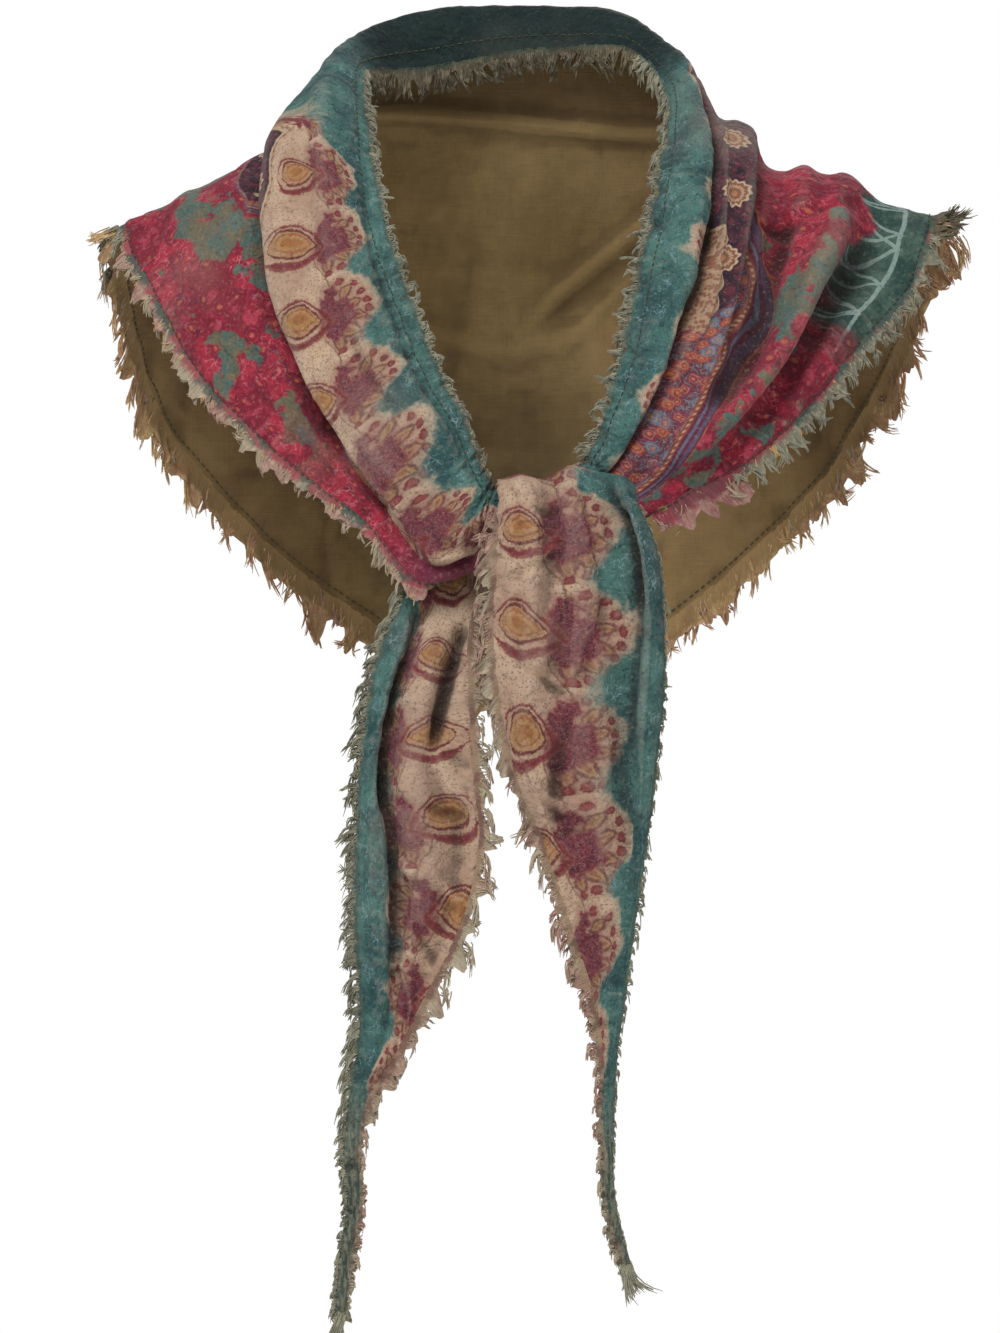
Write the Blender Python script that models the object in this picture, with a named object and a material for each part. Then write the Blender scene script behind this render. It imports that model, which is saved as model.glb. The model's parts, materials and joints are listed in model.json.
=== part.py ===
"""A lined triangle scarf, worn round a neck and tied in a half knot at the front.

The long edge of the triangle goes round the neck, its point hangs down the back, and its two ends
cross in the knot and hang as tails. Metres, +Z up, +X to the right of someone facing the scarf, and
+Y towards the wearer's back. The origin is on the neck's axis, level with the top of the shoulders.
The tables are in millimetres.
"""

import math
import random

import bmesh
import bpy
import numpy as np
from mathutils import Vector

MM = 0.001

# The cloth: a printed ply and a plain lining ply, sewn together near their raw edges.
WALL = 2.4
PLY = 1.05
SEAM_GAP = 0.3
PRINT = (0.20, 0.36, 0.33, 1.0)
RED_PRINT = (0.55, 0.10, 0.14, 1.0)
BEIGE_PRINT = (0.62, 0.46, 0.36, 1.0)
OLIVE = (0.24, 0.18, 0.09, 1.0)
PALE_THREAD = (0.55, 0.50, 0.38, 1.0)
OLIVE_THREAD = (0.33, 0.24, 0.12, 1.0)
CLOTH_ROUGHNESS = 0.9

# Sections of the wound stretch, from inside the knot round the wearer's right shoulder, the back and
# the left shoulder into the knot again. Each runs across the cloth: the long raw edge at the neck,
# the crest of the turned band, the tuck at the foot of the band, and the seam near the short edge.
# swell is how far the panel between tuck and seam bulges from a straight line, and hem is how far
# the cloth goes on past the seam.
SECTIONS = (
    # name               edge              crest              tuck                seam          swell hem
    ("under_left", (0, -100, -178), (-2, -107, -184), (-4, -106, -194), (-8, -102, -208), 1, 4),
    ("knot_left", (-13, -103, -172), (-22, -115, -187), (-36, -110, -205), (-44, -104, -219), 1, 4),
    ("breast_left", (-25, -99, -142), (-41, -111, -154), (-61, -101, -178), (-71, -96, -190), 1, 4),
    ("chest_left", (-43, -88, -103), (-65, -99, -118), (-90, -88, -142), (-110, -82, -160), 2, 5),
    ("collar_left", (-59, -69, -58), (-84, -82, -67), (-116, -71, -84), (-151, -61, -118), 4, 5),
    ("front_left", (-68, -44, -21), (-89, -58, -25), (-121, -47, -41), (-174, -34, -77), 4, 6),
    ("lead_left", (-72, -18, 7), (-89, -27, 12), (-118, -22, -12), (-184, -14, -60), 1, 6),
    ("shoulder_left", (-74, 8, 27), (-85, 8, 34), (-106, 8, 4), (-188, 8, -46), -5, 6),
    ("behind_left", (-69, 29, 31), (-76, 34, 46), (-97, 42, 5), (-186, 46, -86), 10, 7),
    ("blade_left", (-56, 43, 31), (-61, 53, 56), (-79, 66, 12), (-168, 80, -140), 14, 8),
    ("back_left", (-39, 50, 33), (-42, 61, 60), (-55, 75, 15), (-125, 98, -194), 14, 8),
    ("spine_left", (-20, 53, 37), (-21, 65, 62), (-28, 79, 14), (-67, 106, -238), 12, 8),
    ("spine", (0, 54, 40), (0, 66, 62.5), (0, 80, 12), (-6, 109, -268), 11, 8),
    ("spine_right", (20, 53, 42), (21, 65, 62), (28, 79, 9), (53, 107, -250), 12, 8),
    ("back_right", (39, 50, 43), (42, 61, 60), (55, 75, 6), (100, 102, -216), 14, 8),
    ("blade_right", (57, 43, 41), (63, 53, 51), (78, 66, 6), (147, 88, -168), 14, 8),
    ("behind_right", (70, 27, 27), (80, 31, 36), (94, 40, 3), (184, 56, -106), 9, 7),
    ("shoulder_right", (75, 5, 10), (86, 4, 22), (98, 4, 4), (200, 6, -44), -5, 6),
    ("lead_right", (72, -24, -10), (87, -32, -4), (97, -28, -16), (188, -26, -77), 2, 6),
    ("front_right", (67, -50, -34), (84, -62, -35), (97, -53, -44), (162, -52, -107), 4, 5),
    ("collar_right", (60, -72, -67), (79, -84, -72), (94, -74, -82), (142, -70, -132), 4, 5),
    ("chest_right", (54, -88, -101), (72, -98, -107), (84, -89, -116), (117, -86, -156), 3, 5),
    ("breast_right", (45, -96, -132), (60, -106, -138), (71, -99, -146), (92, -97, -172), 2, 4),
    ("knot_right", (35, -97, -158), (46, -107, -163), (56, -102, -169), (70, -100, -184), 1, 4),
    ("under_right", (20, -94, -176), (24, -99, -180), (30, -97, -186), (38, -95, -197), 1, 3),
)
PLACE = {row[0]: index for index, row in enumerate(SECTIONS)}
EDGE, CREST, TUCK, MIDDLE, SEAM, HEM = range(6)

# Folds that are raised in the wound stretch (+) or pressed into it (-). Each follows a straight way
# over the cloth, from one place to another: a section's number, counted from 0, and how far across.
FOLDS = (
    # name          from section, across   to section, across   height  width
    ("lip_left", 7.6, 1.72, 1.4, 1.68, 5.5, 8),
    ("foot_left", 7.4, 2.16, 3.2, 2.14, -3.5, 8),
    ("crease_left", 5.8, 2.95, 3.4, 2.7, -4.0, 9),
    ("pucker_left", 6.8, 1.2, 1.8, 0.9, 2.5, 11),
    ("roll_right", 15.6, 2.24, 22.9, 2.48, 8.0, 9),
    ("gutter_right", 16.2, 2.58, 22.9, 2.74, -5.0, 8),
    ("ridge_right", 16.0, 3.22, 23.0, 3.05, 9.0, 12),
    ("hollow_right", 17.2, 3.62, 22.4, 3.45, -5.0, 9),
    ("drape_blade_left", 9.2, 2.3, 9.0, 5.8, 5.0, 16),
    ("drape_spine_left", 10.9, 2.5, 10.6, 5.8, -4.0, 14),
    ("drape_spine", 12.3, 2.6, 12.1, 5.8, 4.0, 16),
    ("drape_spine_right", 13.6, 2.5, 13.9, 5.8, -4.0, 14),
    ("drape_blade_right", 15.0, 2.3, 15.2, 5.8, 5.0, 16),
)
FOLD_FADE = 0.16

# The tail that comes up behind the crossing and falls over it. Each section gives the left edge, the
# pleat between its two rolls, the crease beside the turned strip and the right edge, then the depth
# at the left and at the right, the height, and how strongly the top is gathered there.
TAIL_RIGHT = (
    # left  pleat crease right  y left  y right    z    gather
    (-6, 14, 37, 52, -91, -111, -192, 0.3),
    (-8, 14, 38, 55, -91, -113, -178, 0.7),
    (-8.5, 13, 39, 56.5, -100, -118, -168, 1.0),
    (-8.5, 13, 40, 57.5, -117, -126, -167, 1.0),
    (-8.5, 13, 41, 59, -127, -130, -177, 0.9),
    (-9, 15, 46, 64, -131, -132, -191, 0.7),
    (-9.5, 16, 51, 68, -132, -132, -208, 0.6),
    (-11, 17, 54, 70, -133, -132, -236, 0.5),
    (-9, 17, 51, 69.5, -133, -132, -265, 0.4),
    (-4, 17, 50, 68, -133, -132, -290, 0.3),
    (5, 20, 53, 64.5, -132, -131, -322, 0.2),
    (17, 30, 54, 60, -131, -130, -352, 0.2),
    (28.5, 38, 50, 54.5, -130, -130, -388, 0.1),
    (37, 42, 48, 51, -129, -129, -415, 0.0),
    (40, 43, 46, 48, -128, -128, -440, 0.0),
    (39.5, 42, 45, 47, -127, -127, -475, 0.0),
    (41, 43, 46, 48, -126, -126, -507, 0.0),
    (50, 52, 54, 56, -124, -124, -543, 0.0),
)
# The other tail comes out behind the left front's end: its left edge, the lip of the turned strip,
# the crest of its roll, the hollow beside that, the right edge, and the depth and height.
TAIL_LEFT = (
    # left   lip   roll hollow right   y       z
    (-45, -40, -32, -22, -16, -84, -198),
    (-49, -45, -34, -24, -19, -88, -214),
    (-54, -48, -36, -26, -20.5, -95, -231),
    (-63, -50, -40, -28, -18.5, -103, -246),
    (-67, -57, -44, -31, -17.5, -108, -261),
    (-73, -63, -50, -35, -16.5, -112, -286),
    (-75.5, -67, -51, -35, -13, -115, -314),
    (-75.5, -63, -48, -32, -16.5, -116, -338),
    (-74.5, -61, -46.5, -33.5, -21.5, -117, -366),
    (-74, -60, -49.5, -40, -31, -118, -391),
    (-72.5, -59, -54, -48.5, -43, -118, -415),
    (-73.5, -64, -61, -58, -55, -118, -438),
    (-77.5, -74, -72.5, -71, -69, -117, -461),
    (-81, -77.5, -76, -74.5, -72.5, -116, -485),
    (-80, -76.5, -75, -73.5, -71.5, -115, -509),
    (-84, -81, -79.5, -78, -76.5, -114, -537),
    (-85.5, -83.5, -82.5, -81.5, -80, -113, -566),
)
NARROW, FULL_WIDTH, FULL_STRIP = 18.0, 60.0, 14.0

# Raw edges: the locks of frayed thread, on a narrow strip that lies just past the cloth.
FRINGES = (
    # name                  cloth        edge   from   to   locks  length  droop
    ("fringe_front_left", "wound", "hem", 1.5, 6.9, 20, 10, 0.35),
    ("fringe_back_left", "wound", "hem", 7.1, 11.9, 25, 12, 0.30),
    ("fringe_back_right", "wound", "hem", 12.1, 16.9, 25, 12, 0.30),
    ("fringe_front_right", "wound", "hem", 17.1, 22.7, 20, 10, 0.35),
    ("fringe_neck_left", "wound", "neck", 1.6, 6.8, 13, 5, 0.10),
    ("fringe_neck_back", "wound", "neck", 7.4, 15.0, 18, 14, 0.45),
    ("fringe_neck_right", "wound", "neck", 15.4, 22.6, 20, 7, 0.10),
    ("fringe_tail_left_outer", "tail_left", "left", 2.6, 15.6, 28, 10, 0.45),
    ("fringe_tail_left_inner", "tail_left", "right", 4.6, 9.8, 11, 9, 0.45),
    ("fringe_tail_right_inner", "tail_right", "left", 6.2, 15.6, 24, 11, 0.55),
    ("fringe_tip_left", "tail_left", "end", 0.0, 1.0, 2, 10, 0.9),
    ("fringe_tip_right", "tail_right", "end", 0.0, 1.0, 2, 10, 0.9),
)
STRIP_GAP, STRIP_WIDTH, STRIP_THICK = 0.9, 2.2, 1.5
LOCK_SHARE = 0.70
BENT_LOCK, BENT_WAIST, BENT_OUT, BENT_DOWN, BENT_TIP = 9.0, 0.72, 0.35, 0.10, 0.60
FRINGE_SEED = 7

# How finely the walls are sampled: steps along each front, along the back, across the turned band,
# across the panel and across a tail; and how long a section and a column are where walls meet.
FRONT_STEPS, BACK_STEPS = 18, 22
BAND_STEPS, PANEL_STEPS, TAIL_STEPS = 7, 10, 12
SECTION_LENGTH, COLUMN_LENGTH = 26.0, 18.0
SHARP = math.radians(50)


def catmull_rom(position, count):
    """Weights of count knots for a place on the smooth curve through them; the ends run on straight."""
    start = min(max(int(math.floor(position)), 0), count - 2)
    f = position - start
    shares = (
        (-f + 2 * f * f - f**3) / 2,
        (2 - 5 * f * f + 3 * f**3) / 2,
        (f + 4 * f * f - 3 * f**3) / 2,
        (f**3 - f * f) / 2,
    )
    weights = np.zeros(count)
    for knot, share in zip(range(start - 1, start + 3), shares):
        if knot < 0:
            weights[0] += 2 * share
            weights[1] -= share
        elif knot >= count:
            weights[-1] += 2 * share
            weights[-2] -= share
        else:
            weights[knot] += share
    return weights


def on_curve(knots, places):
    """Points of the smooth curve through a row of knots."""
    return np.einsum("ai,i...->a...", np.array([catmull_rom(f, len(knots)) for f in places]), knots)


def on_net(net, along, across):
    """Points of the smooth surface through a net of points, at each pair of along and across. Across
    the net the knots may be unevenly spaced: each slope weighs the nearer neighbour more."""
    rows = on_curve(net, along)
    steps = np.diff(rows, axis=1)
    gaps = np.linalg.norm(steps, axis=2, keepdims=True)
    ways = steps / gaps
    slope = np.empty_like(rows)
    slope[:, 1:-1] = (ways[:, :-1] * gaps[:, 1:] + ways[:, 1:] * gaps[:, :-1]) / (
        gaps[:, :-1] + gaps[:, 1:]
    )
    slope[:, 0] = 1.5 * ways[:, 0] - 0.5 * slope[:, 1]
    slope[:, -1] = 1.5 * ways[:, -1] - 0.5 * slope[:, -2]
    start = np.clip(np.floor(across), 0, rows.shape[1] - 2).astype(int)
    f = (across - start)[None, :, None]
    return (
        rows[:, start] * (1 - 3 * f**2 + 2 * f**3) + rows[:, start + 1] * (3 * f**2 - 2 * f**3)
        + gaps[:, start] * (slope[:, start] * (f - 2 * f**2 + f**3) + slope[:, start + 1] * (f**3 - f**2))
    )


def unit(ways):
    """Ways cut to a length of one."""
    return ways / np.linalg.norm(ways, axis=-1, keepdims=True)


def wound_net():
    """The sections as a net of points, edge, crest, tuck, middle and seam, and the hems' ways on."""
    edge, crest, tuck, seam = (np.array([row[k] for row in SECTIONS], float) for k in (1, 2, 3, 4))
    swell, hem = (np.array([[row[k]] for row in SECTIONS], float) for k in (5, 6))
    middle = (tuck + seam) / 2
    middle = middle + unit(np.cross(np.gradient(middle, axis=0), seam - tuck)) * swell
    return np.stack([edge, crest, tuck, middle, seam], axis=1), unit(seam - middle) * hem


def relief_of(width):
    """How deep the folds of a tail are: none where it is only a twisted cord."""
    return min(max((width - NARROW) / (FULL_WIDTH - NARROW), 0.0), 1.0) ** 2


def tail_right_net():
    """Across the tail: raw edge, roll, pleat, roll, crease, turned strip, edge."""
    net = []
    for left, pleat, crease, right, y_left, y_right, z, gather in TAIL_RIGHT:
        relief = relief_of(right - left)
        strip = min((right - crease) / FULL_STRIP, 1.0)
        columns = (
            (left, 4.0, -3.5),
            ((left + pleat) / 2, -3.5, -0.5),
            (pleat, 2.0 * gather, -3.0),
            ((pleat + crease) / 2, -4.5, 3.0),
            (crease, 3.0 * strip, 0.5),
            (crease + (right - crease) * 0.6, -3.0 * strip, -0.5),
            (right, 3.5 * strip, -4.0),
        )
        net.append([
            (x, y_left + (y_right - y_left) * (x - left) / (right - left) + dent * relief,
             z + rise * gather * relief)
            for x, dent, rise in columns
        ])
    return np.array(net, float)


def tail_left_net():
    """Across the tail: raw edge, turned strip, its lip, valley, roll, hollow, edge."""
    net = []
    for left, lip, roll, hollow, right, y, z in TAIL_LEFT:
        relief = relief_of(right - left)
        strip = min((lip - left) / FULL_STRIP, 1.0)
        net.append([
            (x, y + dent * relief, z)
            for x, dent in (
                (left, 3.0 * strip), ((left + lip) / 2, -4.0 * strip), (lip, -1.0 * strip),
                (lip + (roll - lip) * 0.45, 4.0), (roll, -4.0), (hollow, 3.0), (right, -1.0),
            )
        ])
    return np.array(net, float)


WOUND, HEMS = wound_net()
TAILS = {"tail_right": tail_right_net(), "tail_left": tail_left_net()}
STEP = 0.02


def slopes(surface, along, across):
    """How a surface runs per section and falls per column, in millimetres."""
    run = surface(along + STEP, across) - surface(along - STEP, across)
    fall = surface(along, across + STEP) - surface(along, across - STEP)
    return run / (2 * STEP), fall / (2 * STEP)


def normals(surface, along, across):
    """Unit normals of a surface, on the side away from the body."""
    return unit(np.cross(*slopes(surface, along, across)))


def wound_base(along, across):
    """The wound stretch without its folds; past the seam the hem runs straight on."""
    hems = on_curve(HEMS, along)[:, None] * np.maximum(across - SEAM, 0)[None, :, None]
    return on_net(WOUND, along, np.minimum(across, SEAM)) + hems


def reach(marks, across):
    """How many millimetres across the cloth each place lies, between the marks of its section."""
    across = np.broadcast_to(across, (marks.shape[0], across.shape[1]))
    start = np.clip(np.floor(across), 0, marks.shape[1] - 2).astype(int)
    low, high = (np.take_along_axis(marks, start + side, 1) for side in (0, 1))
    return low + (high - low) * (across - start)


def fold_lift(along, across, run):
    """How far the folds raise the cloth at each place."""
    gaps = np.linalg.norm(np.diff(on_curve(WOUND, along), axis=1), axis=2)
    marks = np.pad(gaps.cumsum(axis=1), ((0, 0), (1, 0)))
    lift = np.zeros(run.shape[:2])
    for _, from_section, from_across, to_section, to_across, height, width in FOLDS:
        sections, columns = to_section - from_section, to_across - from_across
        if abs(sections) > abs(columns):
            place = ((along - from_section) / sections)[:, None]
            away = reach(marks, across[None]) - reach(marks, from_across + columns * place)
        else:
            place = ((across - from_across) / columns)[None]
            away = (along[:, None] - from_section - sections * place) * np.linalg.norm(run, axis=2)
        fade = np.clip(np.minimum(place, 1 - place) / FOLD_FADE, 0, 1)
        lift += height * fade * fade * (3 - 2 * fade) * np.exp(-((away / width) ** 2))
    return lift[:, :, None]


def wound(along, across):
    """The printed side of the wound stretch, with its folds."""
    run, fall = slopes(wound_base, along, across)
    return wound_base(along, across) + unit(np.cross(run, fall)) * fold_lift(along, across, run)


def tail(name):
    """The printed side of a tail, with its own sections as along and its columns as across."""
    return lambda along, across: on_net(TAILS[name], along, across)


SURFACES = {"wound": wound, "tail_right": tail("tail_right"), "tail_left": tail("tail_left")}


def grid_object(name, points, faces, colour):
    """A named object from a closed shell of points in millimetres, in its own material."""
    mesh = bpy.data.meshes.new(name)
    mesh.from_pydata([tuple(point * MM) for point in points], [], faces)
    mesh.shade_smooth()
    mesh.set_sharp_from_angle(angle=SHARP)
    mesh.materials.append(cloth_material(name, colour))
    obj = bpy.data.objects.new(name, mesh)
    bpy.data.collections["triangle_scarf"].objects.link(obj)
    return obj


def cloth_material(name, colour):
    material = bpy.data.materials.new(name)
    material.use_nodes = True
    shader = material.node_tree.nodes["Principled BSDF"]
    shader.inputs["Base Color"].default_value = colour
    shader.inputs["Roughness"].default_value = CLOTH_ROUGHNESS
    shader.inputs["Metallic"].default_value = 0.0
    return material


def wall(name, surface, along, across, outer, inner, colour):
    """A wall of cloth between two depths under the printed side, closed all round its rim."""
    along, across = np.array(along), np.array(across)
    face = surface(along, across)
    normal = normals(surface, along, across)
    rows, columns = len(along), len(across)
    points = np.concatenate([
        (face - normal * outer).reshape(-1, 3),
        (face - normal * inner).reshape(-1, 3),
    ])
    under = rows * columns
    faces = []
    for i in range(rows - 1):
        for j in range(columns - 1):
            a = i * columns + j
            for b, c in ((a + columns, a + columns + 1), (a + columns + 1, a + 1)):
                faces.append((a, b, c))
                faces.append((under + c, under + b, under + a))
    rim = list(range(columns))
    rim += [i * columns + columns - 1 for i in range(1, rows)]
    rim += [(rows - 1) * columns + j for j in range(columns - 2, -1, -1)]
    rim += [i * columns for i in range(rows - 2, 0, -1)]
    for a, b in zip(rim, rim[1:] + rim[:1]):
        if a < b:
            faces += [(a, b, under + b), (a, under + b, under + a)]
        else:
            faces += [(a, b, under + a), (b, under + b, under + a)]
    return grid_object(name, points, faces, colour)


def spaced(start, end, steps):
    return np.linspace(start, end, steps + 1)


def seam_gap(length):
    """Half a seam gap, as a share of the section or column that is that many millimetres long."""
    return SEAM_GAP / 2 / length


def stretches():
    """How far along the cloth each stretch is sampled: the fronts and the back, apart at the seams."""
    gap = seam_gap(SECTION_LENGTH)
    left, right = PLACE["shoulder_left"], PLACE["shoulder_right"]
    return {
        "left": spaced(0, left - gap, FRONT_STEPS),
        "back": spaced(left + gap, right - gap, BACK_STEPS),
        "right": spaced(right + gap, PLACE["under_right"], FRONT_STEPS),
    }


def build_wound_stretch():
    """The bands round the neck, the fronts, and the back with its lining."""
    gap = seam_gap(COLUMN_LENGTH)
    band = spaced(EDGE, TUCK - gap, BAND_STEPS)
    panel = np.append(spaced(TUCK + gap, SEAM, PANEL_STEPS), HEM)
    for side, along in stretches().items():
        inner = PLY if side == "back" else WALL
        wall(f"band_{side}", wound, along, band, 0, inner, PRINT)
        wall("back_panel" if side == "back" else f"front_{side}",
             wound, along, panel, 0, inner, RED_PRINT)
    lining = PLY + SEAM_GAP
    along = stretches()["back"]
    wall("lining_band_back", wound, along, band, lining, lining + PLY, OLIVE)
    wall("lining_back", wound, along, panel, lining, lining + PLY, OLIVE)


def tail_samples(net):
    rows, columns, _ = net.shape
    return spaced(0, rows - 1, 2 * (rows - 1)), spaced(0, columns - 1, TAIL_STEPS)


def build_tails():
    for name, net in TAILS.items():
        wall(name, SURFACES[name], *tail_samples(net), 0, WALL, BEIGE_PRINT)


def raw_edge(cloth, edge):
    """Along a raw edge, at each place where its wall is sampled: the middle of the wall's rim, the
    way out of the cloth and the way up from it."""
    if cloth == "wound":
        along, across = np.concatenate(list(stretches().values())), np.array([EDGE, HEM])
    else:
        along, across = tail_samples(TAILS[cloth])
    surface = SURFACES[cloth]
    if edge == "end":
        places, along, across = across, along[-1:], across
        inside = surface(along - 4 * STEP, across)
    else:
        side = -1 if edge in ("hem", "right") else 0
        places, across = along, np.array([across[side]], float)
        inside = surface(along, across - (1 if side else -1) * 4 * STEP)
    rim = surface(along, across)
    up = normals(surface, along, across)
    middle = rim - up * WALL / 2
    return places, *(ways.reshape(-1, 3) for ways in (middle, unit(rim - inside), up))


def fringe(name, cloth, edge, start, end, locks, length, droop, colour, rng):
    """A narrow strip past a raw edge, with its locks drawn out of it one by one."""
    share = [0.0]
    for _ in range(locks):
        share += [share[-1] + LOCK_SHARE, share[-1] + 1.0]
    sampled, *ways = raw_edge(cloth, edge)
    if edge == "end":
        start, end = sampled[0] + 0.3, sampled[-1] - 0.3
    rings = []
    for place in start + (end - start) * np.array(share[:-1]) / share[-2]:
        middle, out, up = (
            np.array([np.interp(place, sampled, way[:, axis]) for axis in range(3)]) for way in ways
        )
        near, far = middle + out * STRIP_GAP, middle + out * (STRIP_GAP + STRIP_WIDTH)
        half = up * STRIP_THICK / 2
        rings.append((near, far + half, far - half, out, up))
    strip = bmesh.new()
    loops = [[strip.verts.new(Vector(point) * MM) for point in ring[:3]] for ring in rings]
    roots = []
    for k, (a, b) in enumerate(zip(loops, loops[1:])):
        for side in range(3):
            face = strip.faces.new((a[side], b[side], b[(side + 1) % 3], a[(side + 1) % 3]))
            if side == 1 and k % 2 == 0:
                roots.append((face, rings[k][3], rings[k][4]))
    strip.faces.new(loops[0])
    strip.faces.new(list(reversed(loops[-1])))
    for face, out, up in roots:
        lock = length * rng.uniform(0.7, 1.25)
        hang = Vector(out) * (1 - droop) + Vector((0, 0, -1)) * droop
        sway = Vector(np.cross(out, up)) * rng.uniform(-0.12, 0.12)
        way = (hang.normalized() + sway).normalized()
        draw_lock(strip, face, way, Vector(out), lock * MM)
    bmesh.ops.recalc_face_normals(strip, faces=strip.faces)
    mesh = bpy.data.meshes.new(name)
    strip.to_mesh(mesh)
    strip.free()
    mesh.materials.append(cloth_material(name, colour))
    obj = bpy.data.objects.new(name, mesh)
    bpy.data.collections["triangle_scarf"].objects.link(obj)


def draw_lock(strip, root, way, out, length):
    """Draws one lock out of a face of the strip: straight at first, then hanging, to a fine tip."""
    tip = root
    if length > BENT_LOCK * MM:
        tip = bmesh.ops.extrude_discrete_faces(strip, faces=[tip])["faces"][0]
        scale_about_middle(tip, BENT_WAIST)
        for vertex in tip.verts:
            vertex.co += (out * BENT_OUT + way * BENT_DOWN) * length
        length *= BENT_TIP
    tip = bmesh.ops.extrude_discrete_faces(strip, faces=[tip])["faces"][0]
    middle = tip.calc_center_median()
    bmesh.ops.pointmerge(strip, verts=list(tip.verts), merge_co=middle + way * length)


def scale_about_middle(face, share):
    middle = face.calc_center_median()
    for vertex in face.verts:
        vertex.co = middle + (vertex.co - middle) * share


def build_fringes():
    rng = random.Random(FRINGE_SEED)
    for name, cloth, edge, start, end, locks, length, droop in FRINGES:
        olive = name.startswith("fringe_back")
        fringe(name, cloth, edge, start, end, locks, length, droop,
               OLIVE_THREAD if olive else PALE_THREAD, rng)


def main():
    for obj in list(bpy.data.objects):
        bpy.data.objects.remove(obj)
    collection = bpy.data.collections.new("triangle_scarf")
    bpy.context.scene.collection.children.link(collection)
    build_wound_stretch()
    build_tails()
    build_fringes()


main()
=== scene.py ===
"""The looks of a lined triangle scarf: printed and lining cloth, raw hems, frayed threads and stitches.

The frame gives the scarf's solids, in metres. The tables below are in millimetres, as a pattern cutter
writes them, and repeat the sections that the solids were made from.
"""

import json
import math
from functools import partial
from typing import NamedTuple

import bpy
import numpy as np
from mathutils import Matrix, Vector

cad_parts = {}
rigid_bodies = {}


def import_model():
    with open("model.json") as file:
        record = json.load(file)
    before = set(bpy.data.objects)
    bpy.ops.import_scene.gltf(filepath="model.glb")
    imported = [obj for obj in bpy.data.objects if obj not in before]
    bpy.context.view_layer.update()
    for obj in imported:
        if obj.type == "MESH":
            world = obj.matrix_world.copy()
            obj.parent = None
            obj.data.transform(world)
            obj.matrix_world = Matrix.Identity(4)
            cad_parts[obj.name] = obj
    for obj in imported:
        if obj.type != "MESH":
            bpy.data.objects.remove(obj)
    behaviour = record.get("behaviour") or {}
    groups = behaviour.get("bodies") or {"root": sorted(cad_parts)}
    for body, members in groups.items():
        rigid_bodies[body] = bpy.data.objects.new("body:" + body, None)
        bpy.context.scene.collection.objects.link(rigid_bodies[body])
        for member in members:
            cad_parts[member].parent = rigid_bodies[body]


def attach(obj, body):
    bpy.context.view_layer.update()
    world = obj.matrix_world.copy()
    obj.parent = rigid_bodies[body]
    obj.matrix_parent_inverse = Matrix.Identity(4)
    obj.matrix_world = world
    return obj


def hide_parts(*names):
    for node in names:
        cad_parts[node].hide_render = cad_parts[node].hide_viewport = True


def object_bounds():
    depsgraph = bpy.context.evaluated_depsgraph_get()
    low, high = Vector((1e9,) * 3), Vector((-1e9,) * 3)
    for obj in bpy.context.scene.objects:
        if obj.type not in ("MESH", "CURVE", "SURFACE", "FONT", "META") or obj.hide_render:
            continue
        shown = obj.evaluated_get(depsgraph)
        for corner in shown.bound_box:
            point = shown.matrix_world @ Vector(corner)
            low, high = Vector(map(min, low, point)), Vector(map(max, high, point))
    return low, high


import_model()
CAD_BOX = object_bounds()

bl_info = {
    "name": "Triangle scarf",
    "version": (1, 0, 0),
    "blender": (4, 5, 0),
    "location": "View3D > Sidebar > Scarf",
    "description": "Dresses a lined triangle scarf in cloth, frayed edges and stitches",
    "category": "Object",
}

MM = 0.001

# ---------------------------------------------------------------------------------------------------
# The cloth's shape
# ---------------------------------------------------------------------------------------------------

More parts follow.
